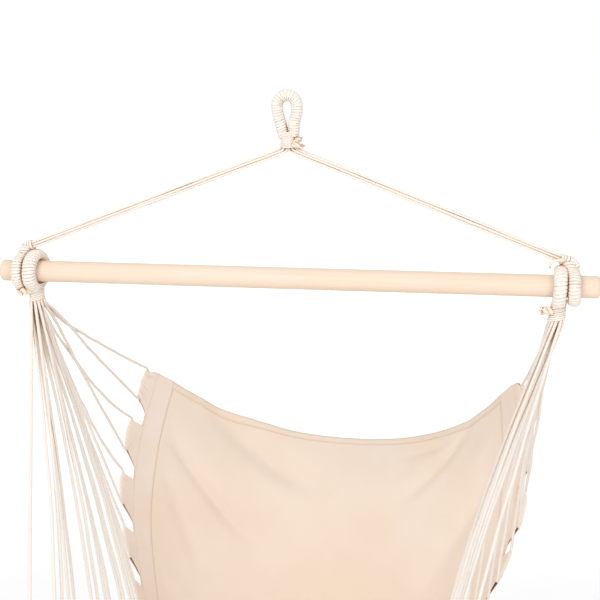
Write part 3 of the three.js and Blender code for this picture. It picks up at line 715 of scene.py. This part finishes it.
def make_harness_loop(side, looks):
    centre = point(side * HARNESS_RING_X, 0, 0)
    add = adder(f"{side_name(side)}_harness", looks, "sling", lambda points: lean(points, side))
    pitch, broad, press = HARNESS_LOOPS[side]
    feet = [(9.2, -NECK_TOP + 2), (6.5, -NECK_TOP - 4)]
    radius = BAR_RADIUS + BAR_GAP + RING_ROPE / 2
    flat, spread = loop_path(radius, HARNESS_THROAT, RING_ROPE, feet, broad, press)
    path = placed(flat, centre, Y, Z)
    stem = stem_path(*(centre - Z * down for down in (NECK_TOP - 2, NECK_TOP + 8, NECK_FOOT + 6)))
    stem = resample(stem, CORE_STEP)
    tube = plain_tube(stem, np.interp(lengths(stem), [0, 16, 22, 28], [10.6, 12, 11.5, 9]))
    route = path, X, spread
    add_loop(add, "loop_", route, RING_ROPE, WRAP_CORD, pitch, 0.05, 11 + side, tube, slice(15, -15))
    neck = stem_path(*(centre - Z * down for down in (NECK_TOP - 11, NECK_TOP + 5, NECK_FOOT)))
    widths = (NECK_DIAMETER - 3.0, NECK_DIAMETER)
    deep = even(neck)
    deep[:, 0] = np.interp(lengths(neck), [0, 4, 11, 16, 22], [2.04, 1.66, 1.52, 1.18, 1.0])
    bound = winding(neck, Y, deep, widths, BINDING_CORD, NECK_PITCH, (0.04, NECK_SLANTS[side]), 0.1, 21 + side)
    add("neck_turns", "neck_binding", bound, "wrap")
    root = centre + (-8.0, -9.0, -NECK_TOP - (1.0 if side < 0 else 5.0))
    tail = tuft(root, HARNESS_TUFTS[side], *HARNESS_TUFT_SIZES[side], 31 + side)
    add("neck_end", "binding_tail", tail.merged(), "cut")


def lean(points, side):
    """How the harness loops hang off true: the left one turned and short, the right one drawn to the middle."""
    moved = np.array(points, float)
    if side > 0:
        moved[:, 0] -= 1.5 + 5.2 * np.clip(-moved[:, 2] / 50, 0, 1.15)
        return moved
    angle = -LEFT_LOOP_TURN * np.clip((moved[:, 2] + 38) / 18, 0, 1)
    x, y = moved[:, 0] + HARNESS_RING_X, moved[:, 1].copy()
    moved[:, 0] = x * np.cos(angle) - y * np.sin(angle) - HARNESS_RING_X + 1.2
    moved[:, 1] = x * np.sin(angle) + y * np.cos(angle)
    moved[:, 1] *= 1 - 0.4 * (moved[:, 1] > 0) * np.clip((-14 - moved[:, 2]) / 14, 0, 1)
    moved[:, 2] += 0.14 * np.clip(-20 - moved[:, 2], 0, 40)
    return moved


def sink(points, side):
    """The suspension loops' throats lie low, drawn down onto the harness loops."""
    moved = np.array(points, float)
    moved[:, 2] -= THROAT_DROPS[side] * np.clip((moved[:, 2] - 8) / 28, 0, 1)
    return moved


def even(path):
    """Width and depth factors of a rope that is round all along."""
    return np.ones((len(path), 2))


EYE_CENTRE = point(0, 0, BAR_DROP - EYE_RADIUS + EYE_ROPE / 2)
EYE_NECK_TOP = EYE_THROAT + NECK_MERGE
ARM_ROOT = EYE_CENTRE - Z * (EYE_NECK_TOP + EYE_NECK + ARM_DROP)


def make_eye(looks):
    add = adder("hanging_eye", looks, "suspension")
    feet = [(8.8, -EYE_NECK_TOP + 2), (6.5, -EYE_NECK_TOP - 4)]
    flat, spread = loop_path(EYE_RADIUS, EYE_THROAT, EYE_ROPE, feet, 1.0, 0.0)
    limb = np.sign(flat[:, 0])
    drawn = np.clip((-flat[:, 1] - 10) / 18, 0, 1) * np.clip((EYE_NECK_TOP + flat[:, 1]) / 16, 0, 1)
    flat[:, 0] -= 2 + 2.4 * np.clip((flat[:, 1] + EYE_NECK_TOP) / 50, 0, 1) + 1.0 * limb * drawn
    flat[:, 0] += 1.4 * np.sign(flat[:, 0]) * np.exp(-(((flat[:, 1] + 12) / 10) ** 2))
    flat[:, 0] -= 1.8 * (flat[:, 0] < 0) * np.exp(-(((flat[:, 1] + 26) / 12) ** 2))
    path = placed(flat, EYE_CENTRE, X, Z)
    path[:, 1] -= 2.5 * drawn * np.sign(flat[:, 0])
    top = EYE_CENTRE[2] - EYE_NECK_TOP
    foot = top - EYE_NECK
    stem = stem_path(point(-2, 0, top + 1), point(-2, 0, top - 9), point(-2, 0, foot - 1))
    tube = plain_tube(resample(stem, CORE_STEP), 9.6)
    add_loop(add, "", (path, Y, spread), EYE_ROPE, BINDING_CORD, OPEN_PITCH, 0.06, 5, tube)
    neck = stem_path(point(-2.4, 0, top + 3), point(-2.2, 0, top - 10), point(-2, 0, foot - 1.5))
    widths = (NECK_DIAMETER - 2.0, NECK_DIAMETER - 4.0)
    bound = winding(neck, Y, even(neck), widths, BINDING_CORD, NECK_PITCH, (0.04, 0.05), 0.1, 6)
    add("neck_turns", "neck_binding", bound, "wrap")
    tail = tuft(point(6, -5, foot + 8), (1, -0.25, 0.55), 17.0, 9.0, 41)
    tail.add(*tuft(point(6, -7, foot + 4), (1, -0.25, 0.02), 19.0, 11.0, 42, 18).merged())
    add("neck_end", "binding_tail", tail.merged(), "cut")


def throat_foot(side):
    return point(side * (SUSPENSION_RING_X - THROAT_LEAN), 0, THROAT_RISE)


def make_suspension_loop(side, looks):
    centre, foot = point(side * SUSPENSION_RING_X, 0, 0), throat_foot(side)
    add = adder(f"{side_name(side)}_suspension", looks, "suspension", lambda points: sink(points, side))
    pitch, broad, press = SUSPENSION_LOOPS[side]
    rise = SUSPENSION_THROAT + NECK_MERGE
    feet = [(7.0, -rise + 1), (4.5, -rise - 3)]
    radius = BAR_RADIUS + BAR_GAP + EYE_ROPE / 2
    flat, spread = loop_path(radius, SUSPENSION_THROAT, EYE_ROPE, feet, broad, press)
    path = placed(flat, centre, Y, -Z)
    path[:, 0] -= side * 9.5 * np.clip((path[:, 2] - 14) / 26, 0, 1) ** 1.6 + (4.0 if side > 0 else 0)
    throat = foot + unit(ARM_ROOT - foot) * COLLAR_LENGTHS[side]
    stem = stem_path(centre + (-side * 5, 0, rise - 6), foot, throat)
    tube = plain_tube(resample(stem, CORE_STEP), 5.8)
    add_loop(add, "loop_", (path, X, spread), EYE_ROPE, WRAP_CORD, pitch, 0.05, 51 + side, tube)
    widths = (THROAT_DIAMETER + 4.0, THROAT_DIAMETER + 1.0)
    bound = winding(stem, Y, even(stem), widths, WRAP_CORD, OPEN_PITCH, (0.1, 0.12), 0.2, 61 + side)
    add("throat_turns", "throat_binding", bound, "wrap")
    if side > 0:
        make_throat_tail(throat - Z * THROAT_DROPS[side], looks)


def make_throat_tail(throat, looks):
    """The right throat's loose end, which curls forward and down over the harness loop."""
    root = throat + (6, -8, -1)
    line = resample(catmull(root + [(0, 0, 0), (-8, -4, 0), (-15, -6, -1), (-20, -7, -4), (-22, -7, -9)]), HAIR_STEP)
    end = Gather().add(*laid_cord(line, np.linspace(3.3, 3.1, len(line))))
    for i in range(14):
        tip = line[-1] + rng.normal(0, 2.0, 3) + (-0.5, 0, -4.5)
        strand = resample(catmull([line[-4] + rng.normal(0, 1.0, 3), mix(line[-1], tip, 0.3), tip]), HAIR_STEP)
        end.add(*laid_cord(strand, np.linspace(0.8, 0.25, len(strand)), i, 6, 0.25, 4))
    adder("right_suspension", looks, "suspension")("throat_end", "binding_tail", end.merged(), "cut")


def make_suspension_cords(side, looks):
    """Three rows of two cords a side, from inside the eye's neck to inside the loop's throat."""
    add = adder(f"{side_name(side)}_suspension", looks, "suspension")
    root, foot = ARM_ROOT + ARM_SHIFT, throat_foot(side) - Z * THROAT_DROPS[side]
    heading = unit(root - foot)
    row_axis = unit(np.cross(heading, Y))
    row_axis = row_axis * np.sign(row_axis[2])
    for number in range(6):
        row, layer = divmod(number, 2)
        aside = (row - 1) * LINE_PITCH * row_axis + (layer - 0.5) * LINE_PITCH * Y
        start = root + (side * (1.8 + 3.9 * row), aside[1], 10.5)
        knee = root + (side * (2.4 + 5.2 * row), aside[1], -3.6 + 2.2 * row)
        span = [mix(root - heading * 17, foot + heading * 15, t) + aside for t in np.linspace(0, 1, 9)]
        for i in range(1, 8):
            span[i] = span[i] + row_axis * rng.normal(0, 0.25) + Y * rng.normal(0, 0.5)
        entry = foot + heading * 5 + aside * 0.62
        line = catmull([start, knee, *span, entry, foot - heading * 3 + aside * 0.5])
        made = laid_cord(resample(line, ARM_STEP), LINE_CORD / 2, rng.uniform(0, 6), groove=0.15)
        add(f"line_{number + 1}", f"cord_{number + 1}", made, "line")


# The sling's own surface, and the harness cords that carry it

EDGE_PLACES = [
    (SLING_HALF_WIDTH * out, (SLING_BACK if reach > 0 else SLING_FRONT) * reach, -SLING_DROP * drop)
    for out, reach, drop in EDGE_SHARES
]
EDGE = catmull(EDGE_PLACES, 80)
EDGE_LENGTH = lengths(EDGE)[-1]
TAB_PITCH = (EDGE_LENGTH - TAB_LENGTH) / (TABS - 1)


def hanging_rows(downs):
    """Dense cloth lines from left to right at distances down the side edge, and how each row faces."""
    downs = np.asarray(downs, float)
    ends = at_lengths(EDGE, downs)
    inside = np.clip(downs, 1, EDGE_LENGTH - 1)
    tangent = unit(at_lengths(EDGE, inside + 1) - at_lengths(EDGE, inside - 1))
    outward = unit(np.stack([np.zeros(len(downs)), -tangent[:, 2], tangent[:, 1]], 1))
    outward[:, 2] -= SAG_LEAN
    outward = unit(outward)
    out = np.linspace(-1, 1, 241)
    shape = 1 - np.abs(out) ** SAG_POWER

    def lines(sag):
        made = ends[:, None, :] + (sag[:, None] * shape)[..., None] * outward[:, None, :]
        made[..., 0] = out * ends[:, :1]
        return made

    low, high = np.zeros(len(downs)), np.full(len(downs), CLOTH_WIDTH / 2)
    for _ in range(30):
        middle = (low + high) / 2
        run = np.linalg.norm(np.diff(lines(middle), axis=1), axis=2).sum(1)
        low, high = np.where(run < CLOTH_WIDTH, middle, low), np.where(run < CLOTH_WIDTH, high, middle)
    return lines(low), outward


def fold_lift(insets, downs):
    """How far the folds raise the cloth towards the sitter, or sink it where their height is below zero."""
    lift = np.zeros(np.broadcast(insets, downs).shape)
    for side, folds in FOLDS.items():
        across = insets if side < 0 else CLOTH_WIDTH - insets
        for start, stop, height, width in folds:
            start, run = np.array(start, float), np.array(stop, float) - start
            place = np.stack(np.broadcast_arrays(across - start[0], downs - start[1]), -1)
            share = np.clip((place @ run) / (run @ run), 0, 1)
            aside = (place[..., 0] * run[1] - place[..., 1] * run[0]) / np.linalg.norm(run)
            lift += height * np.sin(np.pi * share) ** 0.8 * np.exp(-((aside / width / (0.7 + 0.5 * share)) ** 2))
    return lift


def soft_waves(insets, downs, seed, scale):
    """A sum of broad sine waves, for cloth that isn't quite even."""
    local = np.random.default_rng(seed)
    total = 0
    for _ in range(7):
        a, b = local.normal(0, 1 / scale, 2)
        total = total + np.sin(a * insets + b * downs + local.uniform(0, 6.3))
    return total / 7


def top_raise(insets, downs):
    """How far the cloth's top edge is drawn up beside its two corners."""
    reach = np.interp(insets, *TOP_RAISE)
    return reach * np.clip(1 - downs / RAISE_DEPTH, 0, 1) ** 1.5


def panel_surface(downs, insets):
    """The cloth at distances down the side edge and in from the left edge, with its folds and uneven ends."""
    rows, outward = hanging_rows(downs)
    grid = np.stack([at_lengths(row, insets) for row in rows])
    u, v = np.meshgrid(insets, downs)
    edge = np.clip(np.minimum(u, CLOTH_WIDTH - u) / 90 - 0.2, 0, 1)
    lift = (fold_lift(u, v) + soft_waves(u, v, 3, 60) * 1.8) * edge + soft_waves(u, v, 4, 22) * 0.5
    end = np.clip(1 - np.minimum(v, EDGE_LENGTH - v) / (2 * HEM), 0, 1)
    lift += soft_waves(u, v * 0, 9, 6) * 1.1 * end
    return grid - outward[:, None, :] * lift[..., None] + Z * top_raise(u, v)[..., None], u, v


def make_panel(look, stitch):
    insets = np.linspace(TAB_DEPTH + 2, CLOTH_WIDTH - TAB_DEPTH - 2, 211)
    hem = HEM + np.array([-1.2, -0.5, 0.0, 0.5, 1.2])
    downs = np.unique(np.concatenate([np.linspace(0, EDGE_LENGTH, 240), hem, EDGE_LENGTH - hem]))
    grid, u, v = panel_surface(downs, insets)
    from_end = np.minimum(v, EDGE_LENGTH - v)
    thick = np.where(from_end < HEM + 0.1, 2.6, 1.3)
    thick = np.where(from_end < 1.5, 1.8, thick)
    # Painted shade: a dark line along the hem's fold, and a faint darkening over the whole hem.
    crease = np.exp(-(((from_end - HEM) / 0.9) ** 2)) * 0.5 + 0.04 * (from_end < HEM)
    made = *shell(grid, thick), cloth_layers(u, v, crease)
    panel = add_piece("seat_canvas", made, look, "sling", ["seat_cloth"])
    rows = Gather()
    for at in (HEM - 2, EDGE_LENGTH - HEM + 2):
        line, _, _ = panel_surface([at - 0.5, at, at + 0.5], insets)
        add_stitches(rows, line[1], face_normals(line)[1], 1.3)
    return panel, add_piece("seat_hem_stitches", rows.merged(), stitch, "sling")


def add_stitches(made, line, normals, offset):
    """Short raised threads along a line, on both faces."""
    run = lengths(line)
    lift = np.array([-0.15, 0.22, 0.22, -0.15])[:, None]
    for sign in (1, -1):
        for s in np.arange(STITCH_PITCH / 2, run[-1] - STITCH_PITCH, STITCH_PITCH):
            ends = rows_at(np.linspace(s, s + 0.72 * STITCH_PITCH, 4), run, line)
            ends = ends + sign * rows_at(s, run, normals) * (offset + lift)
            made.add(*plain_tube(ends, THREAD_RADIUS, 5, 1.0))


def tab_span(tab):
    """Where a tab starts and ends, at its fold and at its root, as distances down the edge."""
    start = tab * TAB_PITCH
    turned = max(0.0, (tab + 1 + LAST_TABS - TABS) / LAST_TABS)
    root = start - TAB_SPREAD * turned
    return (start, start + TAB_LENGTH), (root, root + TAB_LENGTH + TAB_SPREAD)


def puckers(tab, along, near, local):
    """Short creases that run in from a tab's fold, crowded on the first tab."""
    lift = np.zeros(np.broadcast(along, near).shape)
    for _ in range(13 if tab == 0 else 4):
        place, width, reach = local.uniform(0.04, 0.96), local.uniform(0.02, 0.045), local.uniform(0.3, 0.85)
        height = local.uniform(0.5, 1.0) * local.choice((-1, 1)) * (1.9 if tab == 0 else 0.9)
        drift = 0.35 * (place - 0.35) * (1 - near)
        fade = np.clip((near - 1 + reach) / reach, 0, 1)
        lift += height * fade * np.exp(-(((along - place - drift) / width) ** 2))
    return lift


def make_tab(made, side, tab):
    """A folded tab: out from the strip, round the cord, and back, gathered along the cord."""
    fold, root = tab_span(tab)
    local = np.random.default_rng(100 * tab + side + 5)
    along = np.linspace(0, 1, TAB_ROWS)[:, None]
    out = np.linspace(0, 1, 10)
    around = np.linspace(0, math.pi, 11)[1:-1]
    plate = TAB_DEPTH + 4 - (TAB_DEPTH + 1) * out
    rise = 0.75 + (SLEEVE_RADIUS - 0.75) * out**0.9
    inset = np.concatenate([plate, 3 - (3 + SLEEVE_RADIUS) * np.sin(around), plate[::-1]])
    rise = np.concatenate([rise, SLEEVE_RADIUS * np.cos(around), -rise[::-1]])
    near = np.clip(1 - inset / (TAB_DEPTH + 4), 0, 1)
    down = mix(mix(*root, along), mix(*fold, along), near**0.8)
    bulge = TAB_BULGE * np.sin(np.pi * along**0.85) ** 0.7
    scallop = (2.0 if tab == 0 else 0.4) * np.abs(np.sin(np.pi * 5.5 * along + tab))
    distance = inset - (bulge + scallop) * near**2
    knots = np.linspace(max(root[0] - 2, 0), min(root[1] + 2, EDGE_LENGTH), 25)
    columns = np.linspace(0, 40, 21)
    lines, _ = hanging_rows(knots)
    table = np.stack([at_lengths(line, columns) for line in lines])
    down = np.clip(down, knots[0], knots[-1])
    base = sample(table, knots, columns, down, distance)
    normal = unit(sample(face_normals(table), knots, columns, down, np.clip(distance, 2, 38)))
    creases = puckers(tab, along, near, local)
    raised = top_raise(distance if side < 0 else CLOTH_WIDTH - distance, down)
    grid = base + normal * (rise + creases)[..., None] + Z * raised[..., None]
    # Painted shade in the dents of the puckers.
    crease = 0.18 * np.clip(-creases, 0, 1)
    if side > 0:
        grid, distance, down, crease = (v[:, ::-1] for v in (grid * (-1, 1, 1), distance, down, crease))
    made.add(*shell(grid, 0.9), cloth_layers(distance, down, crease))


def sample(table, rows, columns, r, c):
    """Bilinear values of a table; beyond its first and last column it runs on straight."""
    i = np.clip(np.searchsorted(rows, r) - 1, 0, len(rows) - 2)
    j = np.clip(np.searchsorted(columns, c) - 1, 0, len(columns) - 2)
    fr = ((r - rows[i]) / (rows[i + 1] - rows[i]))[..., None]
    fc = ((c - columns[j]) / (columns[j + 1] - columns[j]))[..., None]
    low = mix(table[i, j], table[i, j + 1], fc)
    high = mix(table[i + 1, j], table[i + 1, j + 1], fc)
    return mix(low, high, fr)


def make_band(side, look, stitch):
    name = side_name(side)
    insets = np.linspace(TAB_DEPTH, TAB_DEPTH + BAND_WIDTH, 22)
    insets = insets if side < 0 else CLOTH_WIDTH - insets[::-1]
    grid, u, v = panel_surface(np.linspace(0, EDGE_LENGTH, 420), insets)
    inward = np.minimum(u, CLOTH_WIDTH - u) - TAB_DEPTH
    pull = np.exp(-inward / 30) * soft_waves(u, v, 8, 9) * 0.8
    pull += np.exp(-inward / 22) * soft_waves(u * 0.3, v, 12, 3.4) * 0.7
    grid = grid + face_normals(grid) * pull[..., None]
    from_side = np.minimum(inward, BAND_WIDTH - inward)
    thick = 2.1 + 1.1 * np.clip(from_side / 1.2, 0, 1) - 0.5 * np.exp(-(((from_side - 3) / 1.2) ** 2))
    # Painted shade along the seam grooves three millimetres in from each side, and strongly at the band's two edges.
    crease = 0.25 * np.exp(-(((from_side - 3) / 1.2) ** 2)) + 0.4 * (from_side < 0.5)
    made = Gather().add(*shell(grid, thick), cloth_layers(u, v, crease))
    for tab in range(TABS):
        make_tab(made, side, tab)
    band = add_piece(f"{name}_edge_band", made.merged(), look, "sling", [f"{name}_side_band"])
    rows = Gather()
    normals = face_normals(grid)
    for column in (1.35, 19.65):
        low = int(column)
        line = mix(grid[:, low], grid[:, low + 1], column - low)
        add_stitches(rows, line, normals[:, low], 1.35)
    return band, add_piece(f"{name}_band_stitches", rows.merged(), stitch, "sling")


def neck_places(side):
    """Where the cords leave a neck, the rearmost and inmost first, and how far out the outermost lie."""
    pitch = HARNESS_CORD + CORD_SPACE
    places, inner = [], 0.0
    for count in CORDS_ROUND_NECK:
        radius = max(inner, pitch / 2 / math.sin(math.pi / count))
        inner = radius + pitch
        for i in range(count):
            angle = 2 * math.pi * i / count + math.pi / 2
            places.append((side * radius * math.cos(angle), radius * math.sin(angle)))
    places.sort(key=lambda p: (-round((0.77 * p[1] - 0.64 * side * p[0]) / 0.3), p[0]))
    foot = -NECK_FOOT - 0.3
    return [point(side * HARNESS_RING_X + 0.93 * x, 0.93 * y, foot) for x, y in places], inner - pitch


def harness_span(tab, starts, leads):
    """Both strands of a cord from the neck to its tab, hanging in bows; the rearmost first run together."""
    spans = []
    for i in (0, 1):
        run = leads[i] - starts[i]
        slack = i == 0 and tab < len(SLACK_SHARES)
        sag = SLACK_SHARES[tab] * np.linalg.norm(run) if slack else BOW_SHARE * abs(run[1])
        t = np.linspace(0, 1, 15)[:, None]
        span = mix(starts[i], leads[i], t)
        if tab < 2:
            together = mix(sum(starts) / 2, sum(leads) / 2, t) + starts[i] - sum(starts) / 2
            span = mix(span, together, 1 / (1 + (t / (0.25 - 0.05 * tab)) ** 4))
        skewed = t**0.75 if tab == 0 else t
        bow = 4 * sag * skewed * (1 - skewed)
        wave = np.sin(np.pi * t) * rng.normal(0, 0.5, (15, 3)) * (1, 1, 0.6)
        spans.append(span - bow * Z + wave)
    return spans


def make_harness_cords(side, looks):
    add = adder(f"{side_name(side)}_harness", looks, "sling")
    places, outer = neck_places(side)
    for tab in range(TABS):
        bound = np.array(places[2 * tab : 2 * tab + 2]) - X * side * DRAWN_STARTS.get(tab, 0)
        centre = point(side * HARNESS_RING_X, 0, -NECK_FOOT)
        starts, inside = lean(bound, side), lean(mix(bound, centre, 0.3) + Z * 14, side)
        middle = lean(centre[None], side)[0]
        (low, high), _ = tab_span(tab)
        lines, _ = hanging_rows(np.linspace(low, high, 7))
        mouths = lines[:, 0] * (-side, 1, 1)
        heading = unit(mouths[-1] - mouths[0])
        leads = [
            mouths[end] + MOUTH_LEAD * unit(2.4 * unit(middle - mouths[end]) + way)
            for end, way in ((0, -heading), (-1, heading))
        ]
        leaves = [start - Z * 3 * (1 - abs(start[1]) / (outer + 3)) for start in starts]
        spans = harness_span(tab, leaves, leads)
        for span, pull in zip(spans, PULLS[side][tab]):
            span[:, 0] -= side * pull * np.sin(np.linspace(0, np.pi, len(span)))
        there, back = (np.vstack(parts) for parts in zip(inside, starts, spans))
        line = resample(catmull(np.vstack([there, mouths, back[::-1]]), 24), HARNESS_STEP)
        run = lengths(line)
        from_tab = np.linalg.norm(line - mouths[3], axis=1) - TAB_LENGTH / 2 - 8
        from_neck = np.minimum(run, run[-1] - run) - 12
        size = np.interp(from_neck, [-12, 2, SWELL_LENGTH], [HARNESS_CORD, HARNESS_NECK_CORD, HARNESS_FREE_CORD])
        size = np.minimum(size, np.interp(from_tab, [0, SWELL_LENGTH], [HARNESS_TAB_CORD, HARNESS_FREE_CORD + 0.4]))
        cord = laid_cord(line, size / 2, rng.uniform(0, 6), groove=0.17)
        add(f"line_{tab + 1:02d}", f"cord_{tab + 1:02d}", cord, "line")


def make_stage():
    """A plain pale floor, bright to the eye so that it blends into the backdrop, and lit as paint elsewhere."""
    mesh = bpy.data.meshes.new("floor")
    corners = [(x * FLOOR_SIZE, y * FLOOR_SIZE, 0) for x, y in ((-1, -1), (1, -1), (1, 1), (-1, 1))]
    mesh.from_pydata(corners, [], [(0, 1, 2, 3)])
    floor = linked("floor", mesh)
    floor.location.z = CAD_BOX[0].z - FLOOR_DROP
    look = Look("floor_paint", 0.9, specular=0.1)
    material = look.finish(look.ramp(look.noise(look.place(), 3.0, 2), (0.3, 0xFFFFFF), (0.7, 0xFDFDFD)))
    distance = look.node("ShaderNodeVectorMath", operation="LENGTH", Vector=look.place())
    away = look.math("MULTIPLY", look.math("SUBTRACT", distance.outputs["Value"], 2.5), 1 / 4.5)
    glow = look.node("ShaderNodeEmission", Color=look.ramp(away, (0.0, 0x6C6C6C), (1.0, 0xBCBCBC)))
    bright = look.node("ShaderNodeAddShader")
    for socket, source in zip(bright.inputs, (look.shader, glow)):
        look.feed(socket, source.outputs[0])
    look.show("Material Output", look.shader.outputs[0], bright.outputs[0])
    mesh.materials.append(material)


def make_lights():
    world = bpy.data.worlds.new("studio")
    bpy.context.scene.world = world
    world.use_nodes = True
    tree = Nodes(world.node_tree)
    lit, seen = tree.nodes["Background"], tree.node("ShaderNodeBackground")
    for background, strength in ((lit, WORLD_STRENGTH), (seen, 1.0)):
        tree.feed(background.inputs["Color"], (1, 1, 1, 1))
        tree.feed(background.inputs["Strength"], strength)
    tree.show("World Output", lit.outputs[0], seen.outputs[0])
    for name, (place, size, power) in LIGHTS.items():
        data = bpy.data.lights.new(name, "AREA")
        data.shape = "DISK"
        data.size = size
        data.energy = power
        lamp = linked(name, data)
        lamp.location = place
        lamp.rotation_euler = (Vector(LIGHT_TARGET) - Vector(place)).to_track_quat("-Z", "Y").to_euler()
    bpy.context.scene.view_settings.view_transform = "Standard"


def main():
    make_camera()
    looks = {
        # The cores are brown all over: painted shade for the strands seen deep between the turns.
        "core": cord_look("cord_shadowed", 0xD9BE9E, 0xB48E66),
        "wrap": cord_look("cord_wound", 0xFDF7F1, 0xEDDCCB),
        "line": cord_look("cord_laid", 0xFCF5EE, 0xEAD8C6),
        # The cut ends' deeper groove colour is painted shade in their twists.
        "cut": cord_look("cord_cut_ends", 0xFAEEDF, 0xDDBE98),
    }
    canvas = cloth_look("canvas_natural", 0xF4E5D7, 0xF2E0CE)
    banding = cloth_look("canvas_band", 0xF5E7DC, 0xF2E1D3)
    stitch = cord_look("thread_natural", 0xF0DEC8, 0xDFC7AB, 1500)
    for side in (-1, 1):
        make_harness_cords(side, looks)
        make_suspension_cords(side, looks)
    make_bar()
    make_eye(looks)
    for side in (-1, 1):
        make_harness_loop(side, looks)
        make_suspension_loop(side, looks)
    panel, hem = make_panel(canvas, stitch)
    for side in (-1, 1):
        band, seams = make_band(side, banding, stitch)
    make_stage()
    make_lights()


main()
